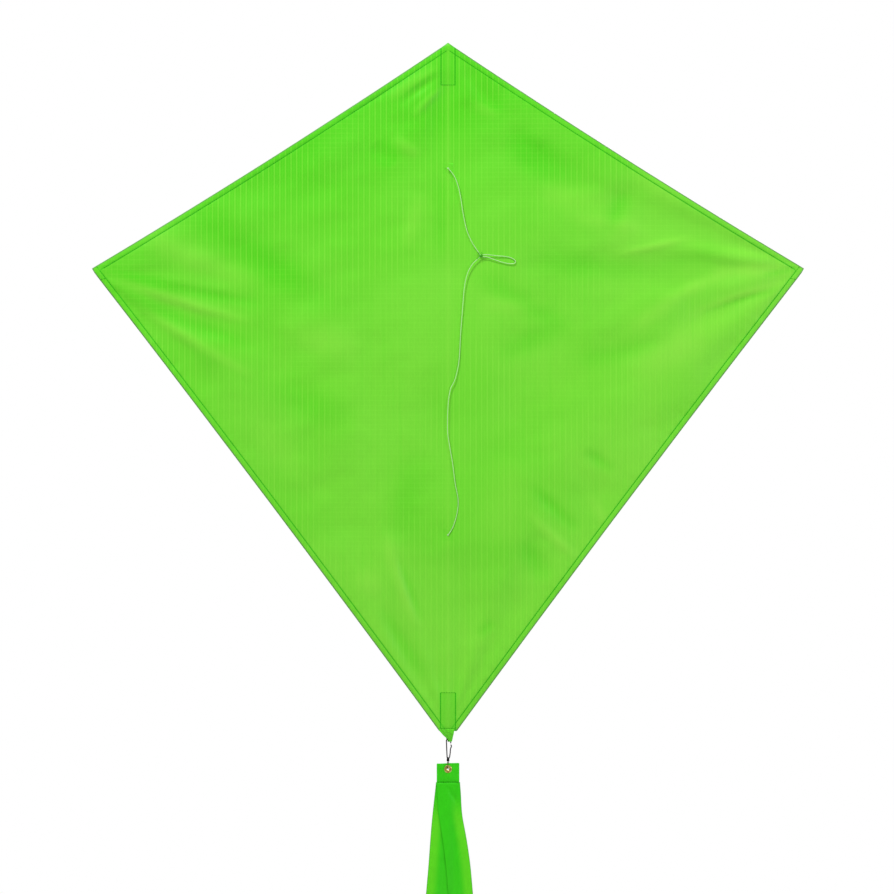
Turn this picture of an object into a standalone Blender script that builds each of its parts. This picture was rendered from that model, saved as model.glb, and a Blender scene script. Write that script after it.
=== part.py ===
"""Diamond kite with a bridle, a snap swivel and a tail of two ribbons.

+Z points to the nose. The front of the sail, with the bridle on it, looks to -Y, and the two rods lie
behind the sail. The origin is the middle of the flat back of the plastic cross that joins the rods.
All lengths are in metres.
"""

import math

import bmesh
import bpy
from mathutils import Vector

# Driving sizes of the sail, measured from the crossing of the rods
SPAN = 0.762
NOSE_HEIGHT = 0.2424
TAIL_DROP = 0.494
TAIL_CUT_WIDTH = 0.0185
LEADING_SAG = 0.003
TRAILING_SAG = 0.002
HEM_WIDTH = 0.006

# Cloth, line and gaps
CLOTH = 0.0005
GAP = 0.0003
LINE_RADIUS = 0.0004
LINE_HOLE_RADIUS = 0.0010

# Rods, their caps and the cross that joins them
ROD_RADIUS = 0.002
ROD_BORE_RADIUS = 0.00215
CROSS_HALF_LENGTH = 0.013
CROSS_HALF_WIDTH = 0.004
CROSS_SPAR_SLEEVE_DEPTH = 0.0064
CROSS_SPINE_SLEEVE_BACK = 0.0058
CROSS_BORE_LENGTH = 0.04  # longer than the cross, so that each bore goes right through
SPAR_DEPTH = 0.0038
SPINE_DEPTH = 0.0086
CROSS_DEPTH = 0.0118
CAP_RADIUS = 0.0028
CAP_LENGTH = 0.010
CAP_END_WALL = 0.0015
CAP_EDGE = 0.0006
SPINE_TOP = 0.232
SPINE_BOTTOM = -0.4875
SPAR_HALF_LENGTH = 0.3635

# Layers of cloth in front of the rods: each value is the depth of a layer's middle, towards -Y
POCKET_FRONT = 0.0122
HEM_LAYER = POCKET_FRONT + GAP + CLOTH / 2
SAIL_LAYER = HEM_LAYER + CLOTH + GAP
SAIL_FRONT = SAIL_LAYER + CLOTH / 2
BRIDLE_DEPTH = SAIL_FRONT + 0.0017

# Pockets: a flat strip with a ridge that leaves room for a rod's capped end
POCKET_RIDGE_HALF_WIDTH = 0.0040
POCKET_RIDGE_BACK = 0.0048
POCKET_END_WALL = 0.0008
NOSE_POCKET = {"low": 0.197, "high": 0.2365, "half_width": 0.0075}
TAIL_POCKET = {"low": -0.4915, "high": -0.4530, "half_width": 0.0080}
WING_POCKET = {"low": 0.3380, "high": 0.3665, "half_width": 0.0075}

# Bridle
UPPER_ANCHOR_HEIGHT = 0.1081
LOWER_ANCHOR_HEIGHT = -0.2841
PATCH_HALF_SIZE = 0.006
KNOT_RADIUS = 0.0016
KNOT = (0.0346, 0.0144)
# Hand-chosen points of the bridle line as it lies on the sail: X and Z in millimetres
UPPER_LEG_ROUTE = (
    (0, 108.1), (6.4, 100.1), (10.7, 89.4), (13.6, 76.1), (15.9, 60.8), (19.8, 42.7),
    (24.5, 31.1), (28.9, 23.5), (32.6, 18.3), (33.5, 16.5),
)
LOWER_LEG_ROUTE = (
    (33.0, 12.5), (31.4, 10.8), (26.4, 5.9), (21.7, -2.2), (18.8, -11.8), (17.3, -21.4),
    (16.3, -32.6), (13.5, -68.6), (11.8, -97.3), (7.7, -117.2), (2.6, -128.4),
    (0.0, -146.1), (-0.5, -171.8), (1.2, -186.1), (4.6, -206.0), (7.7, -229.1),
    (10.8, -246.4), (9.7, -260.6), (5.5, -274.9), (0, -284.1),
)
TOW_LOOP_ROUTE = (
    (36.9, 15.4), (41.7, 15.7), (51.2, 14.7), (62.9, 13.5), (69.3, 11.4), (72.3, 8.3),
    (69.3, 6.0), (60.8, 6.9), (51.2, 9.8), (42.6, 12.9), (36.9, 13.4),
)
LINE_STEP = 0.006

# Tail tab, snap and swivel, all hung on one vertical line at this depth
TAIL_DEPTH = 0.0095
TAB_TOP = -0.4935
TAB_HALF_WIDTH = 0.0013
TAB_INNER_RADIUS = 0.0014
TAB_THICKNESS = 0.0006
TAB_SEAT = 0.0013  # height of the seat above the middle of the snap bend, clear of the wire as it swings
SNAP_BEND_RADIUS = 0.0024
SNAP_BEND_HEIGHT = -0.5052
SNAP_WIRE_RADIUS = 0.0004
BARREL_TOP = -0.5240
BARREL_BOTTOM = -0.52695
BARREL_RADIUS = 0.0015
BARREL_SHOULDER_RADIUS = 0.0012
BARREL_ROOM_RADIUS = 0.0010
BARREL_BORE_RADIUS = 0.0006
BARREL_WALL = 0.0004
BARREL_NECK = 0.0009
STEM_RADIUS = 0.0004
STEM_HEAD_RADIUS = 0.0008
EYE_WIRE_RADIUS = 0.00035
EYE_TOP = -0.5274
EYE_BOTTOM = -0.5339
EYE_HALF_WIDTH = 0.0029
# Hand-chosen points of the gate's wire: X and Z in millimetres, from its foot to its latch
GATE_ROUTE = (
    (1.1, -523.2), (1.3, -521.0), (1.7, -517.0), (2.1, -514.0), (2.7, -512.6), (3.1, -511.2),
    (2.9, -509.9), (2.5, -508.8),
)

# Eyelet, header and ribbons
EYELET_HEIGHT = -0.5351
EYELET_HOLE_RADIUS = 0.0022
EYELET_FLANGE_RADIUS = 0.0042
HEADER_HALF_WIDTH = 0.0122
HEADER_TOP = -0.5287
HEADER_BOTTOM = -0.5501
HEADER_THICKNESS = 0.0010
HEADER_HOLE_RADIUS = 0.0030
EYELET_WALL = 0.0004
EYELET_GAP = 0.0001
EYELET_LIP = 0.0010
RIBBON_WIDTH = 0.0254
RIBBON_TOP = -0.5512
RIBBON_LENGTH = 0.750
RIBBON_TOP_OFFSET = 0.0003
RIBBON_SPLAY = 0.0240
RIBBON_SPLAY_HEIGHT = 0.42
RIBBON_LAYER = GAP / 2 + CLOTH / 2

ROUND_STEPS = 24
ROD_STEPS = 16

LIME = (0.19, 0.68, 0.035)
DEEP_LIME = (0.08, 0.52, 0.02)
WHITE = (0.80, 0.82, 0.80)
NICKEL = (0.30, 0.30, 0.31)
BRASS = (0.80, 0.58, 0.22)

PARTS = "diamond_kite"
CUTTERS = "cutters"


# ---------------------------------------------------------------- scene and materials


def clear_scene():
    for obj in list(bpy.data.objects):
        bpy.data.objects.remove(obj)
    for name in (PARTS, CUTTERS):
        collection = bpy.data.collections.new(name)
        bpy.context.scene.collection.children.link(collection)


def principled(name, colour, roughness, metallic=0.0):
    material = bpy.data.materials.new(name)
    material.use_nodes = True
    shader = material.node_tree.nodes["Principled BSDF"]
    shader.inputs["Base Color"].default_value = (*colour, 1.0)
    shader.inputs["Roughness"].default_value = roughness
    shader.inputs["Metallic"].default_value = metallic
    material.diffuse_color = (*colour, 1.0)
    return material


def cloth_material(name, colour=LIME):
    return principled(name, colour, 0.6)


def line_material(name):
    return principled(name, WHITE, 0.7)


def plastic_material(name):
    return principled(name, WHITE, 0.45)


def metal_material(name, colour):
    return principled(name, colour, 0.25, metallic=1.0)


def add_part(obj, material):
    bpy.data.collections[PARTS].objects.link(obj)
    obj.data.materials.append(material)
    return obj


def add_cutter(obj):
    bpy.data.collections[CUTTERS].objects.link(obj)
    obj.hide_render = True
    obj.display_type = "WIRE"
    return obj


# ---------------------------------------------------------------- shapes


def flat_shape(name, outline, thickness, holes=()):
    """A plate from a closed outline in the local XY plane, with a closed outline for each hole."""
    curve = bpy.data.curves.new(name, "CURVE")
    curve.dimensions = "2D"
    curve.fill_mode = "BOTH"
    curve.extrude = thickness / 2
    for loop in (outline, *holes):
        spline = curve.splines.new("POLY")
        spline.points.add(len(loop) - 1)
        for point, (x, y) in zip(spline.points, loop):
            point.co = (x, y, 0, 1)
        spline.use_cyclic_u = True
    return bpy.data.objects.new(name, curve)


def upright_plate(name, outline, depth, thickness, holes=()):
    """A plate that stands in the XZ plane, with its middle this deep towards -Y."""
    plate = flat_shape(name, outline, thickness, holes)
    plate.rotation_euler = (math.radians(90), 0, 0)
    plate.location = (0, -depth, 0)
    return plate


def tube(name, points, radius, closed=False):
    curve = bpy.data.curves.new(name, "CURVE")
    curve.dimensions = "3D"
    curve.bevel_depth = radius
    curve.bevel_resolution = 2
    curve.use_fill_caps = not closed
    spline = curve.splines.new("POLY")
    spline.points.add(len(points) - 1)
    for point, place in zip(spline.points, points):
        point.co = (*place, 1)
    spline.use_cyclic_u = closed
    return bpy.data.objects.new(name, curve)


def turned(name, profile, ring=False, steps=ROUND_STEPS):
    """A profile of (radius, height) turned about the local Z axis. A ring's profile closes on itself."""
    mesh = bpy.data.meshes.new(name)
    shape = bmesh.new()
    corners = [shape.verts.new((radius, 0, height)) for radius, height in profile]
    for first, second in zip(corners, corners[1:]):
        shape.edges.new((first, second))
    if ring:
        shape.edges.new((corners[-1], corners[0]))
    shape.to_mesh(mesh)
    shape.free()
    obj = bpy.data.objects.new(name, mesh)
    screw = obj.modifiers.new("turn", "SCREW")
    screw.axis = "Z"
    screw.steps = steps
    screw.render_steps = steps
    screw.use_merge_vertices = True
    screw.merge_threshold = 0.00001
    return obj


def cylinder(name, radius, length, steps=ROUND_STEPS):
    """A cylinder along the local Z axis, centred on its origin."""
    mesh = bpy.data.meshes.new(name)
    shape = bmesh.new()
    bmesh.ops.create_cone(
        shape, cap_ends=True, segments=steps, radius1=radius, radius2=radius, depth=length
    )
    shape.to_mesh(mesh)
    shape.free()
    return bpy.data.objects.new(name, mesh)


def box(name, low, high):
    mesh = bpy.data.meshes.new(name)
    shape = bmesh.new()
    bmesh.ops.create_cube(shape, size=1)
    size = Vector(high) - Vector(low)
    middle = (Vector(high) + Vector(low)) / 2
    for corner in shape.verts:
        corner.co = Vector(a * b for a, b in zip(corner.co, size)) + middle
    shape.to_mesh(mesh)
    shape.free()
    return bpy.data.objects.new(name, mesh)


def as_mesh(obj):
    """The object's shape as a new mesh object in the same place, its caps welded. The first one goes."""
    bpy.context.scene.collection.objects.link(obj)
    bpy.context.view_layer.update()
    graph = bpy.context.evaluated_depsgraph_get()
    mesh = bpy.data.meshes.new_from_object(obj.evaluated_get(graph))
    shape = bmesh.new()
    shape.from_mesh(mesh)
    bmesh.ops.remove_doubles(shape, verts=shape.verts, dist=0.000001)
    bmesh.ops.recalc_face_normals(shape, faces=shape.faces)
    shape.to_mesh(mesh)
    shape.free()
    solid = bpy.data.objects.new(obj.name + "_solid", mesh)
    solid.matrix_world = obj.matrix_world.copy()
    name = obj.name
    bpy.data.objects.remove(obj)
    solid.name = name
    return solid


def combine(obj, other, operation):
    """Cuts the other object from this one, or joins it on. The other one stays as a hidden cutter."""
    add_cutter(other)
    modifier = obj.modifiers.new(other.name, "BOOLEAN")
    modifier.operation = operation
    modifier.object = other


def bowed_edge(start, end, sag, steps=8):
    """Points from start to end along an edge that bows in towards the crossing by sag at its middle."""
    start, end = Vector(start), Vector(end)
    along = end - start
    inward = Vector((-along.y, along.x)).normalized()
    if inward.dot(-(start + end)) < 0:
        inward = -inward
    shares = [i / steps for i in range(steps + 1)]
    return [start + along * t + inward * sag * 4 * t * (1 - t) for t in shares]


def arc(centre, radius, first_degrees, last_degrees, steps=12):
    angles = [first_degrees + (last_degrees - first_degrees) * i / steps for i in range(steps + 1)]
    return [
        (centre[0] + radius * math.cos(math.radians(a)), centre[1] + radius * math.sin(math.radians(a)))
        for a in angles
    ]


def circle(centre, radius, steps=ROUND_STEPS):
    return arc(centre, radius, 0, 360, steps)[:-1]


def mirrored(points):
    return [(-x, y) for x, y in reversed(points)]


def smooth_route(route, depth, step):
    """Evenly spaced points on a smooth curve through a route given in millimetres, in the XZ plane."""
    ends = [route[0], *route, route[-1]]
    dense = []
    for p0, p1, p2, p3 in zip(ends, ends[1:], ends[2:], ends[3:]):
        for i in range(20):
            t = i / 20
            dense.append([
                0.5 * (2 * b + (c - a) * t + (2 * a - 5 * b + 4 * c - d) * t * t
                       + (3 * b - a - 3 * c + d) * t ** 3)
                for a, b, c, d in zip(p0, p1, p2, p3)
            ])
    dense.append(list(route[-1]))
    dense = [Vector((x / 1000, -depth, z / 1000)) for x, z in dense]
    lengths = [0.0]
    for first, second in zip(dense, dense[1:]):
        lengths.append(lengths[-1] + (second - first).length)
    count = max(2, round(lengths[-1] / step))
    points = []
    at = 0
    for i in range(count + 1):
        wanted = lengths[-1] * i / count
        while at < len(lengths) - 2 and lengths[at + 1] < wanted:
            at += 1
        share = (wanted - lengths[at]) / (lengths[at + 1] - lengths[at])
        points.append(dense[at].lerp(dense[at + 1], share))
    return points


# ---------------------------------------------------------------- sail, hems, patches and pockets

NOSE = (0.0, NOSE_HEIGHT)
TIP = (SPAN / 2, 0.0010)
TIP_UNDERSIDE = (SPAN / 2 - 0.0028, -0.0038)
TAIL_CORNER = (TAIL_CUT_WIDTH / 2, -TAIL_DROP)


def leading_edge():
    """The right leading edge, from the nose to the wing tip."""
    return bowed_edge(NOSE, TIP, LEADING_SAG)


def trailing_edge():
    """The right trailing edge, from the wing tip to the cut corner at the tail."""
    return bowed_edge(TIP_UNDERSIDE, TAIL_CORNER, TRAILING_SAG)


def make_sail():
    right = [tuple(p) for p in (*leading_edge(), *trailing_edge())]
    left = mirrored(right)
    holes = [
        circle((0, height), LINE_HOLE_RADIUS, 12)
        for height in (UPPER_ANCHOR_HEIGHT, LOWER_ANCHOR_HEIGHT)
    ]
    sail = upright_plate("sail", right + left[:-1], SAIL_LAYER, CLOTH, holes)
    add_part(sail, cloth_material("sail_cloth"))


def hem_outline(edge, first_share, last_share):
    """The strip of HEM_WIDTH inside an edge, between two shares of the edge's length."""
    steps = len(edge) - 1

    def point_at(share):
        index = min(int(share * steps), steps - 1)
        return edge[index].lerp(edge[index + 1], share * steps - index)

    along = (edge[-1] - edge[0]).normalized()
    inward = Vector((along.y, -along.x))
    shares = [first_share + (last_share - first_share) * i / steps for i in range(steps + 1)]
    outer = [point_at(share) for share in shares]
    inner = [point + inward * HEM_WIDTH for point in reversed(outer)]
    return [tuple(p) for p in outer + inner]


def make_hems():
    leading = hem_outline(leading_edge(), 0.0105, 0.992)
    trailing = hem_outline(trailing_edge(), 0.008, 0.999)
    for name, outline in (("hem_leading", leading), ("hem_trailing", trailing)):
        for side, points in (("right", outline), ("left", mirrored(outline))):
            hem = upright_plate(f"{name}_{side}", points, HEM_LAYER, CLOTH)
            add_part(hem, cloth_material(f"{name}_{side}_cloth"))


def make_bridle_patches():
    half = PATCH_HALF_SIZE
    for name, height in (("upper", UPPER_ANCHOR_HEIGHT), ("lower", LOWER_ANCHOR_HEIGHT)):
        low, high = height - half, height + half
        outline = [(-half, low), (half, low), (half, high), (-half, high)]
        hole = circle((0, height), LINE_HOLE_RADIUS, 12)
        patch = upright_plate(f"bridle_patch_{name}", outline, HEM_LAYER, CLOTH, [hole])
        add_part(patch, cloth_material(f"bridle_patch_{name}_cloth"))


def pocket_profile(half_width):
    """Cross-section of a pocket, filled: X across the rod and Y through the cloth."""
    front = -POCKET_FRONT
    strip_back = front + CLOTH
    bend = arc((0, -POCKET_RIDGE_BACK - POCKET_RIDGE_HALF_WIDTH), POCKET_RIDGE_HALF_WIDTH, 0, 180, 10)
    return [
        (-half_width, front), (half_width, front), (half_width, strip_back),
        (POCKET_RIDGE_HALF_WIDTH, strip_back), *bend, (-POCKET_RIDGE_HALF_WIDTH, strip_back),
        (-half_width, strip_back),
    ]


def pocket_hollow_profile():
    """Cross-section of the room for the capped rod, open towards the sail."""
    half = POCKET_RIDGE_HALF_WIDTH - CLOTH
    bend = arc((0, -POCKET_RIDGE_BACK - POCKET_RIDGE_HALF_WIDTH), half, 0, 180, 10)
    return [(-half, -POCKET_FRONT - CLOTH), (half, -POCKET_FRONT - CLOTH), *bend]


def make_pocket(name, size, closed_end_up, turn_degrees):
    """A pocket along Z, then turned in the sail's plane, about the line through the crossing."""
    length = size["high"] - size["low"]
    middle = (size["high"] + size["low"]) / 2
    pocket = flat_shape(name, pocket_profile(size["half_width"]), length)
    hollow = flat_shape(name + "_hollow", pocket_hollow_profile(), length)
    shift = -POCKET_END_WALL if closed_end_up else POCKET_END_WALL
    turn = math.radians(turn_degrees)
    for shape, along in ((pocket, middle), (hollow, middle + shift)):
        shape.rotation_euler = (0, turn, 0)
        shape.location = (along * math.sin(turn), 0, along * math.cos(turn))
    pocket = as_mesh(pocket)
    combine(pocket, as_mesh(hollow), "DIFFERENCE")
    add_part(pocket, cloth_material(name + "_cloth"))


def make_pockets():
    make_pocket("nose_pocket", NOSE_POCKET, True, 0)
    make_pocket("tail_pocket", TAIL_POCKET, False, 0)
    make_pocket("wing_pocket_right", WING_POCKET, True, 90)
    make_pocket("wing_pocket_left", WING_POCKET, True, -90)


# ---------------------------------------------------------------- rods, caps and cross


def spar_depth(x):
    """The cross spar bends forward from the cross to the sail, and runs straight into its caps."""
    share = abs(x) / SPAR_HALF_LENGTH
    return SPAR_DEPTH + (SPINE_DEPTH - SPAR_DEPTH) * share**2 * (3 - 2 * share)


def make_rods():
    spine = cylinder("spine_rod", ROD_RADIUS, SPINE_TOP - SPINE_BOTTOM, ROD_STEPS)
    spine.location = (0, -SPINE_DEPTH, (SPINE_TOP + SPINE_BOTTOM) / 2)
    add_part(spine, plastic_material("spine_rod_fibreglass"))
    steps = 24
    xs = [SPAR_HALF_LENGTH * (2 * i / steps - 1) for i in range(steps + 1)]
    spar = tube("cross_spar", [(x, -spar_depth(x), 0) for x in xs], ROD_RADIUS)
    add_part(spar, plastic_material("cross_spar_fibreglass"))


def make_cap(name, end, depth, turn_degrees):
    """A vinyl cap over a rod's end. The end is its distance from the crossing along the turned Z axis."""
    inner = CAP_END_WALL
    profile = [
        (0, inner), (CAP_RADIUS - CAP_EDGE, inner), (CAP_RADIUS, inner - CAP_EDGE),
        (CAP_RADIUS, inner - CAP_LENGTH), (ROD_BORE_RADIUS, inner - CAP_LENGTH),
        (ROD_BORE_RADIUS, GAP), (0, GAP),
    ]
    turn = math.radians(turn_degrees)
    cap = turned(name, profile, steps=ROD_STEPS)
    cap.rotation_euler = (0, turn, 0)
    cap.location = (end * math.sin(turn), -depth, end * math.cos(turn))
    add_part(cap, plastic_material(name + "_vinyl"))


def make_caps():
    make_cap("spine_cap_nose", SPINE_TOP, SPINE_DEPTH, 0)
    make_cap("spine_cap_tail", -SPINE_BOTTOM, SPINE_DEPTH, 180)
    make_cap("spar_cap_right", SPAR_HALF_LENGTH, SPINE_DEPTH, 90)
    make_cap("spar_cap_left", SPAR_HALF_LENGTH, SPINE_DEPTH, -90)


def make_cross():
    """Two sleeves that cross one behind the other, each with its own bore."""
    length, width = CROSS_HALF_LENGTH, CROSS_HALF_WIDTH
    cross = box("rod_cross", (-length, -CROSS_SPAR_SLEEVE_DEPTH, -width), (length, 0, width))
    upright = box(
        "spine_sleeve", (-width, -CROSS_DEPTH, -length), (width, -CROSS_SPINE_SLEEVE_BACK, length)
    )
    combine(cross, upright, "UNION")
    spar_bore = cylinder("spar_bore", ROD_BORE_RADIUS, CROSS_BORE_LENGTH)
    spar_bore.rotation_euler = (0, math.radians(90), 0)
    spar_bore.location = (0, -SPAR_DEPTH, 0)
    combine(cross, spar_bore, "DIFFERENCE")
    spine_bore = cylinder("spine_bore", ROD_BORE_RADIUS, CROSS_BORE_LENGTH)
    spine_bore.location = (0, -SPINE_DEPTH, 0)
    combine(cross, spine_bore, "DIFFERENCE")
    add_part(cross, plastic_material("rod_cross_plastic"))


# ---------------------------------------------------------------- bridle


def make_bridle_anchors():
    """A turn of line round the spine, with a strand that comes forward through the sail."""
    loop_radius = ROD_RADIUS + GAP + LINE_RADIUS
    strand_back = -SPINE_DEPTH - loop_radius - LINE_RADIUS / 2
    strand_front = -BRIDLE_DEPTH + LINE_RADIUS + GAP
    for name, height in (("upper", UPPER_ANCHOR_HEIGHT), ("lower", LOWER_ANCHOR_HEIGHT)):
        loop_points = [
            (x, y, height) for x, y in circle((0, -SPINE_DEPTH), loop_radius)
        ]
        loop = as_mesh(tube(f"bridle_anchor_{name}", loop_points, LINE_RADIUS, closed=True))
        strand = cylinder(f"anchor_strand_{name}", LINE_RADIUS, strand_back - strand_front, 10)
        strand.rotation_euler = (math.radians(90), 0, 0)
        strand.location = (0, (strand_back + strand_front) / 2, height)
        combine(loop, strand, "UNION")
        add_part(loop, line_material(f"bridle_anchor_{name}_line"))


def make_bridle():
    legs = (("bridle_upper_leg", UPPER_LEG_ROUTE), ("bridle_lower_leg", LOWER_LEG_ROUTE))
    for name, route in (*legs, ("tow_loop", TOW_LOOP_ROUTE)):
        line = tube(name, smooth_route(route, BRIDLE_DEPTH, LINE_STEP), LINE_RADIUS)
        add_part(line, line_material(name + "_line"))
    mesh = bpy.data.meshes.new("bridle_knot")
    shape = bmesh.new()
    bmesh.ops.create_uvsphere(shape, u_segments=12, v_segments=8, radius=KNOT_RADIUS)
    shape.to_mesh(mesh)
    shape.free()
    knot = bpy.data.objects.new("bridle_knot", mesh)
    knot.scale = (1.0, 0.7, 0.8)
    knot.location = (KNOT[0] + 0.0002, -BRIDLE_DEPTH, KNOT[1])
    add_part(knot, line_material("bridle_knot_line"))


# ---------------------------------------------------------------- tail tab, snap and swivel


def make_tail_tab():
    """A narrow loop of cloth in the YZ plane that the snap's bend hangs in."""
    centre = (-TAIL_DEPTH, SNAP_BEND_HEIGHT + TAB_SEAT + TAB_INNER_RADIUS)
    inner = arc(centre, TAB_INNER_RADIUS, 180, 360)
    outer = arc(centre, TAB_INNER_RADIUS + TAB_THICKNESS, 360, 180)
    top = TAB_TOP
    outline = [
        (inner[0][0], top), *inner, (inner[-1][0], top), (outer[0][0], top), *outer, (outer[-1][0], top),
    ]
    tab = flat_shape("tail_tab", outline, 2 * TAB_HALF_WIDTH)
    tab.rotation_euler = (math.radians(90), 0, math.radians(90))
    add_part(tab, cloth_material("tail_tab_cloth"))


def make_snap():
    """A hairpin of wire whose right leg is the springy gate."""
    bend = arc((0, SNAP_BEND_HEIGHT), SNAP_BEND_RADIUS, -12, 192, 16)
    leg = [(0.0026, -0.5076), *bend, (-0.0025, -0.5076), (-0.0019, -0.5160), (-0.0013, -0.5220),
           (-0.0010, -0.5236)]
    wire = tube("snap_wire", [(x, -TAIL_DEPTH, z) for x, z in leg], SNAP_WIRE_RADIUS)
    add_part(wire, metal_material("snap_wire_nickel", NICKEL))
    gate_points = smooth_route(GATE_ROUTE, TAIL_DEPTH, 0.001)
    gate = tube("snap_gate", gate_points, SNAP_WIRE_RADIUS)
    add_part(gate, metal_material("snap_gate_nickel", NICKEL))


def make_barrel():
    """A turned barrel, hollow and open below, where the eye's headed stem turns."""
    low, high = BARREL_BOTTOM, BARREL_TOP
    outside, shoulder, room, bore = (
        BARREL_RADIUS, BARREL_SHOULDER_RADIUS, BARREL_ROOM_RADIUS, BARREL_BORE_RADIUS
    )
    profile = [
        (0, high), (shoulder - 0.0004, high), (shoulder, high - 0.0004), (outside, high - 0.0011),
        (outside, low + 0.0008), (shoulder, low + 0.0002), (room, low), (bore, low),
        (bore, low + BARREL_NECK), (room, low + BARREL_NECK), (room, high - BARREL_WALL),
        (0, high - BARREL_WALL),
    ]
    barrel = turned("swivel_barrel", profile)
    barrel.location = (0, -TAIL_DEPTH, 0)
    add_part(barrel, metal_material("swivel_barrel_nickel", NICKEL))


def make_swivel_eye():
    """An oval ring that goes through the eyelet, on a headed stem inside the barrel."""
    half_height = (EYE_TOP - EYE_BOTTOM) / 2
    middle = (EYE_TOP + EYE_BOTTOM) / 2
    points = [
        (0, -TAIL_DEPTH + x * EYE_HALF_WIDTH / half_height, middle + z)
        for x, z in circle((0, 0), half_height)
    ]
    eye = as_mesh(tube("swivel_eye", points, EYE_WIRE_RADIUS, closed=True))
    head_low, head_high = BARREL_BOTTOM + 0.0011, BARREL_BOTTOM + 0.0017
    stem_bottom = EYE_TOP - 0.0001
    profile = [
        (0, head_high), (STEM_HEAD_RADIUS, head_high), (STEM_HEAD_RADIUS, head_low),
        (STEM_RADIUS, head_low), (STEM_RADIUS, stem_bottom), (0, stem_bottom),
    ]
    stem = turned("swivel_stem", profile)
    stem.location = (0, -TAIL_DEPTH, 0)
    combine(eye, stem, "UNION")
    add_part(eye, metal_material("swivel_eye_nickel", NICKEL))


# ---------------------------------------------------------------- tail


def place_on_eyelet_axis(obj):
    """Turns the local Z axis to -Y, through the middle of the eyelet."""
    obj.rotation_euler = (math.radians(90), 0, 0)
    obj.location = (0, -TAIL_DEPTH, EYELET_HEIGHT)


def make_eyelet():
    """A brass eyelet: a flange in front, a barrel through the header and a rolled lip behind."""
    inner, wall = EYELET_HOLE_RADIUS, EYELET_HOLE_RADIUS + EYELET_WALL
    flange = EYELET_FLANGE_RADIUS
    front = HEADER_THICKNESS / 2 + EYELET_GAP
    crown = front + 0.0007
    lip_front = -HEADER_THICKNESS / 2 - 0.0006
    lip_back = lip_front - 0.0003
    profile = [
        (inner, crown - 0.0003), (wall, crown), (wall + 0.0008, crown), (flange, front + 0.0002),
        (flange, front), (wall, front), (wall, lip_front), (wall + EYELET_LIP, lip_front),
        (wall + EYELET_LIP, lip_back), (inner, lip_back),
    ]
    eyelet = turned("tail_eyelet", profile, ring=True)
    place_on_eyelet_axis(eyelet)
    add_part(eyelet, metal_material("tail_eyelet_brass", BRASS))
    washer_front = -HEADER_THICKNESS / 2 - EYELET_GAP
    washer_inner = wall + EYELET_GAP
    washer_profile = [
        (washer_inner, washer_front), (flange, washer_front), (flange, washer_front - 0.0002),
        (washer_inner, washer_front - 0.0004),
    ]
    washer = turned("eyelet_washer", washer_profile, ring=True)
    place_on_eyelet_axis(washer)
    add_part(washer, metal_material("eyelet_washer_brass", BRASS))


def make_header():
    half, low, high = HEADER_HALF_WIDTH, HEADER_BOTTOM, HEADER_TOP
    outline = [(-half, low), (half, low), (half, high), (-half, high)]
    hole = circle((0, EYELET_HEIGHT), HEADER_HOLE_RADIUS)
    header = upright_plate("tail_header", outline, TAIL_DEPTH, HEADER_THICKNESS, [hole])
    add_part(header, cloth_material("tail_header_cloth", DEEP_LIME))


def ribbon_middle(drop):
    """How far a ribbon's middle lies from the tail's centre line at this distance below its top."""
    share = min(drop / RIBBON_SPLAY_HEIGHT, 1)
    return RIBBON_TOP_OFFSET + RIBBON_SPLAY * (1 - (1 - share) ** 2)


def make_ribbons():
    steps = 20
    drops = [RIBBON_LENGTH * i / steps for i in range(steps + 1)]
    outer = [(ribbon_middle(drop) + RIBBON_WIDTH / 2, RIBBON_TOP - drop) for drop in drops]
    inner = [(ribbon_middle(drop) - RIBBON_WIDTH / 2, RIBBON_TOP - drop) for drop in reversed(drops)]
    right = outer + inner
    front = upright_plate("tail_ribbon_right", right, TAIL_DEPTH + RIBBON_LAYER, CLOTH)
    add_part(front, cloth_material("tail_ribbon_right_cloth", DEEP_LIME))
    back = upright_plate("tail_ribbon_left", mirrored(right), TAIL_DEPTH - RIBBON_LAYER, CLOTH)
    add_part(back, cloth_material("tail_ribbon_left_cloth", DEEP_LIME))


def shade_round_parts():
    """Smooth shading on the turned and cylindrical meshes, with sharp edges kept."""
    for obj in bpy.data.collections[PARTS].objects:
        if obj.type == "MESH":
            obj.data.shade_smooth()
            obj.data.set_sharp_from_angle(angle=math.radians(35))


def main():
    clear_scene()
    make_sail()
    make_hems()
    make_bridle_patches()
    make_pockets()
    make_rods()
    make_caps()
    make_cross()
    make_bridle_anchors()
    make_bridle()
    make_tail_tab()
    make_snap()
    make_barrel()
    make_swivel_eye()
    make_eyelet()
    make_header()
    make_ribbons()
    shade_round_parts()


main()
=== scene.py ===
"""Looks of the diamond kite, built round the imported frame.

The frame's axes: +Z to the nose, the front of the sail towards -Y, the rods behind the sail. Lengths are in
metres. "Depth" is a distance towards -Y, so a bigger depth is nearer to a viewer in front of the kite.
"""

import math

import bmesh
import bpy
import numpy as np
from mathutils import Matrix, Vector


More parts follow.
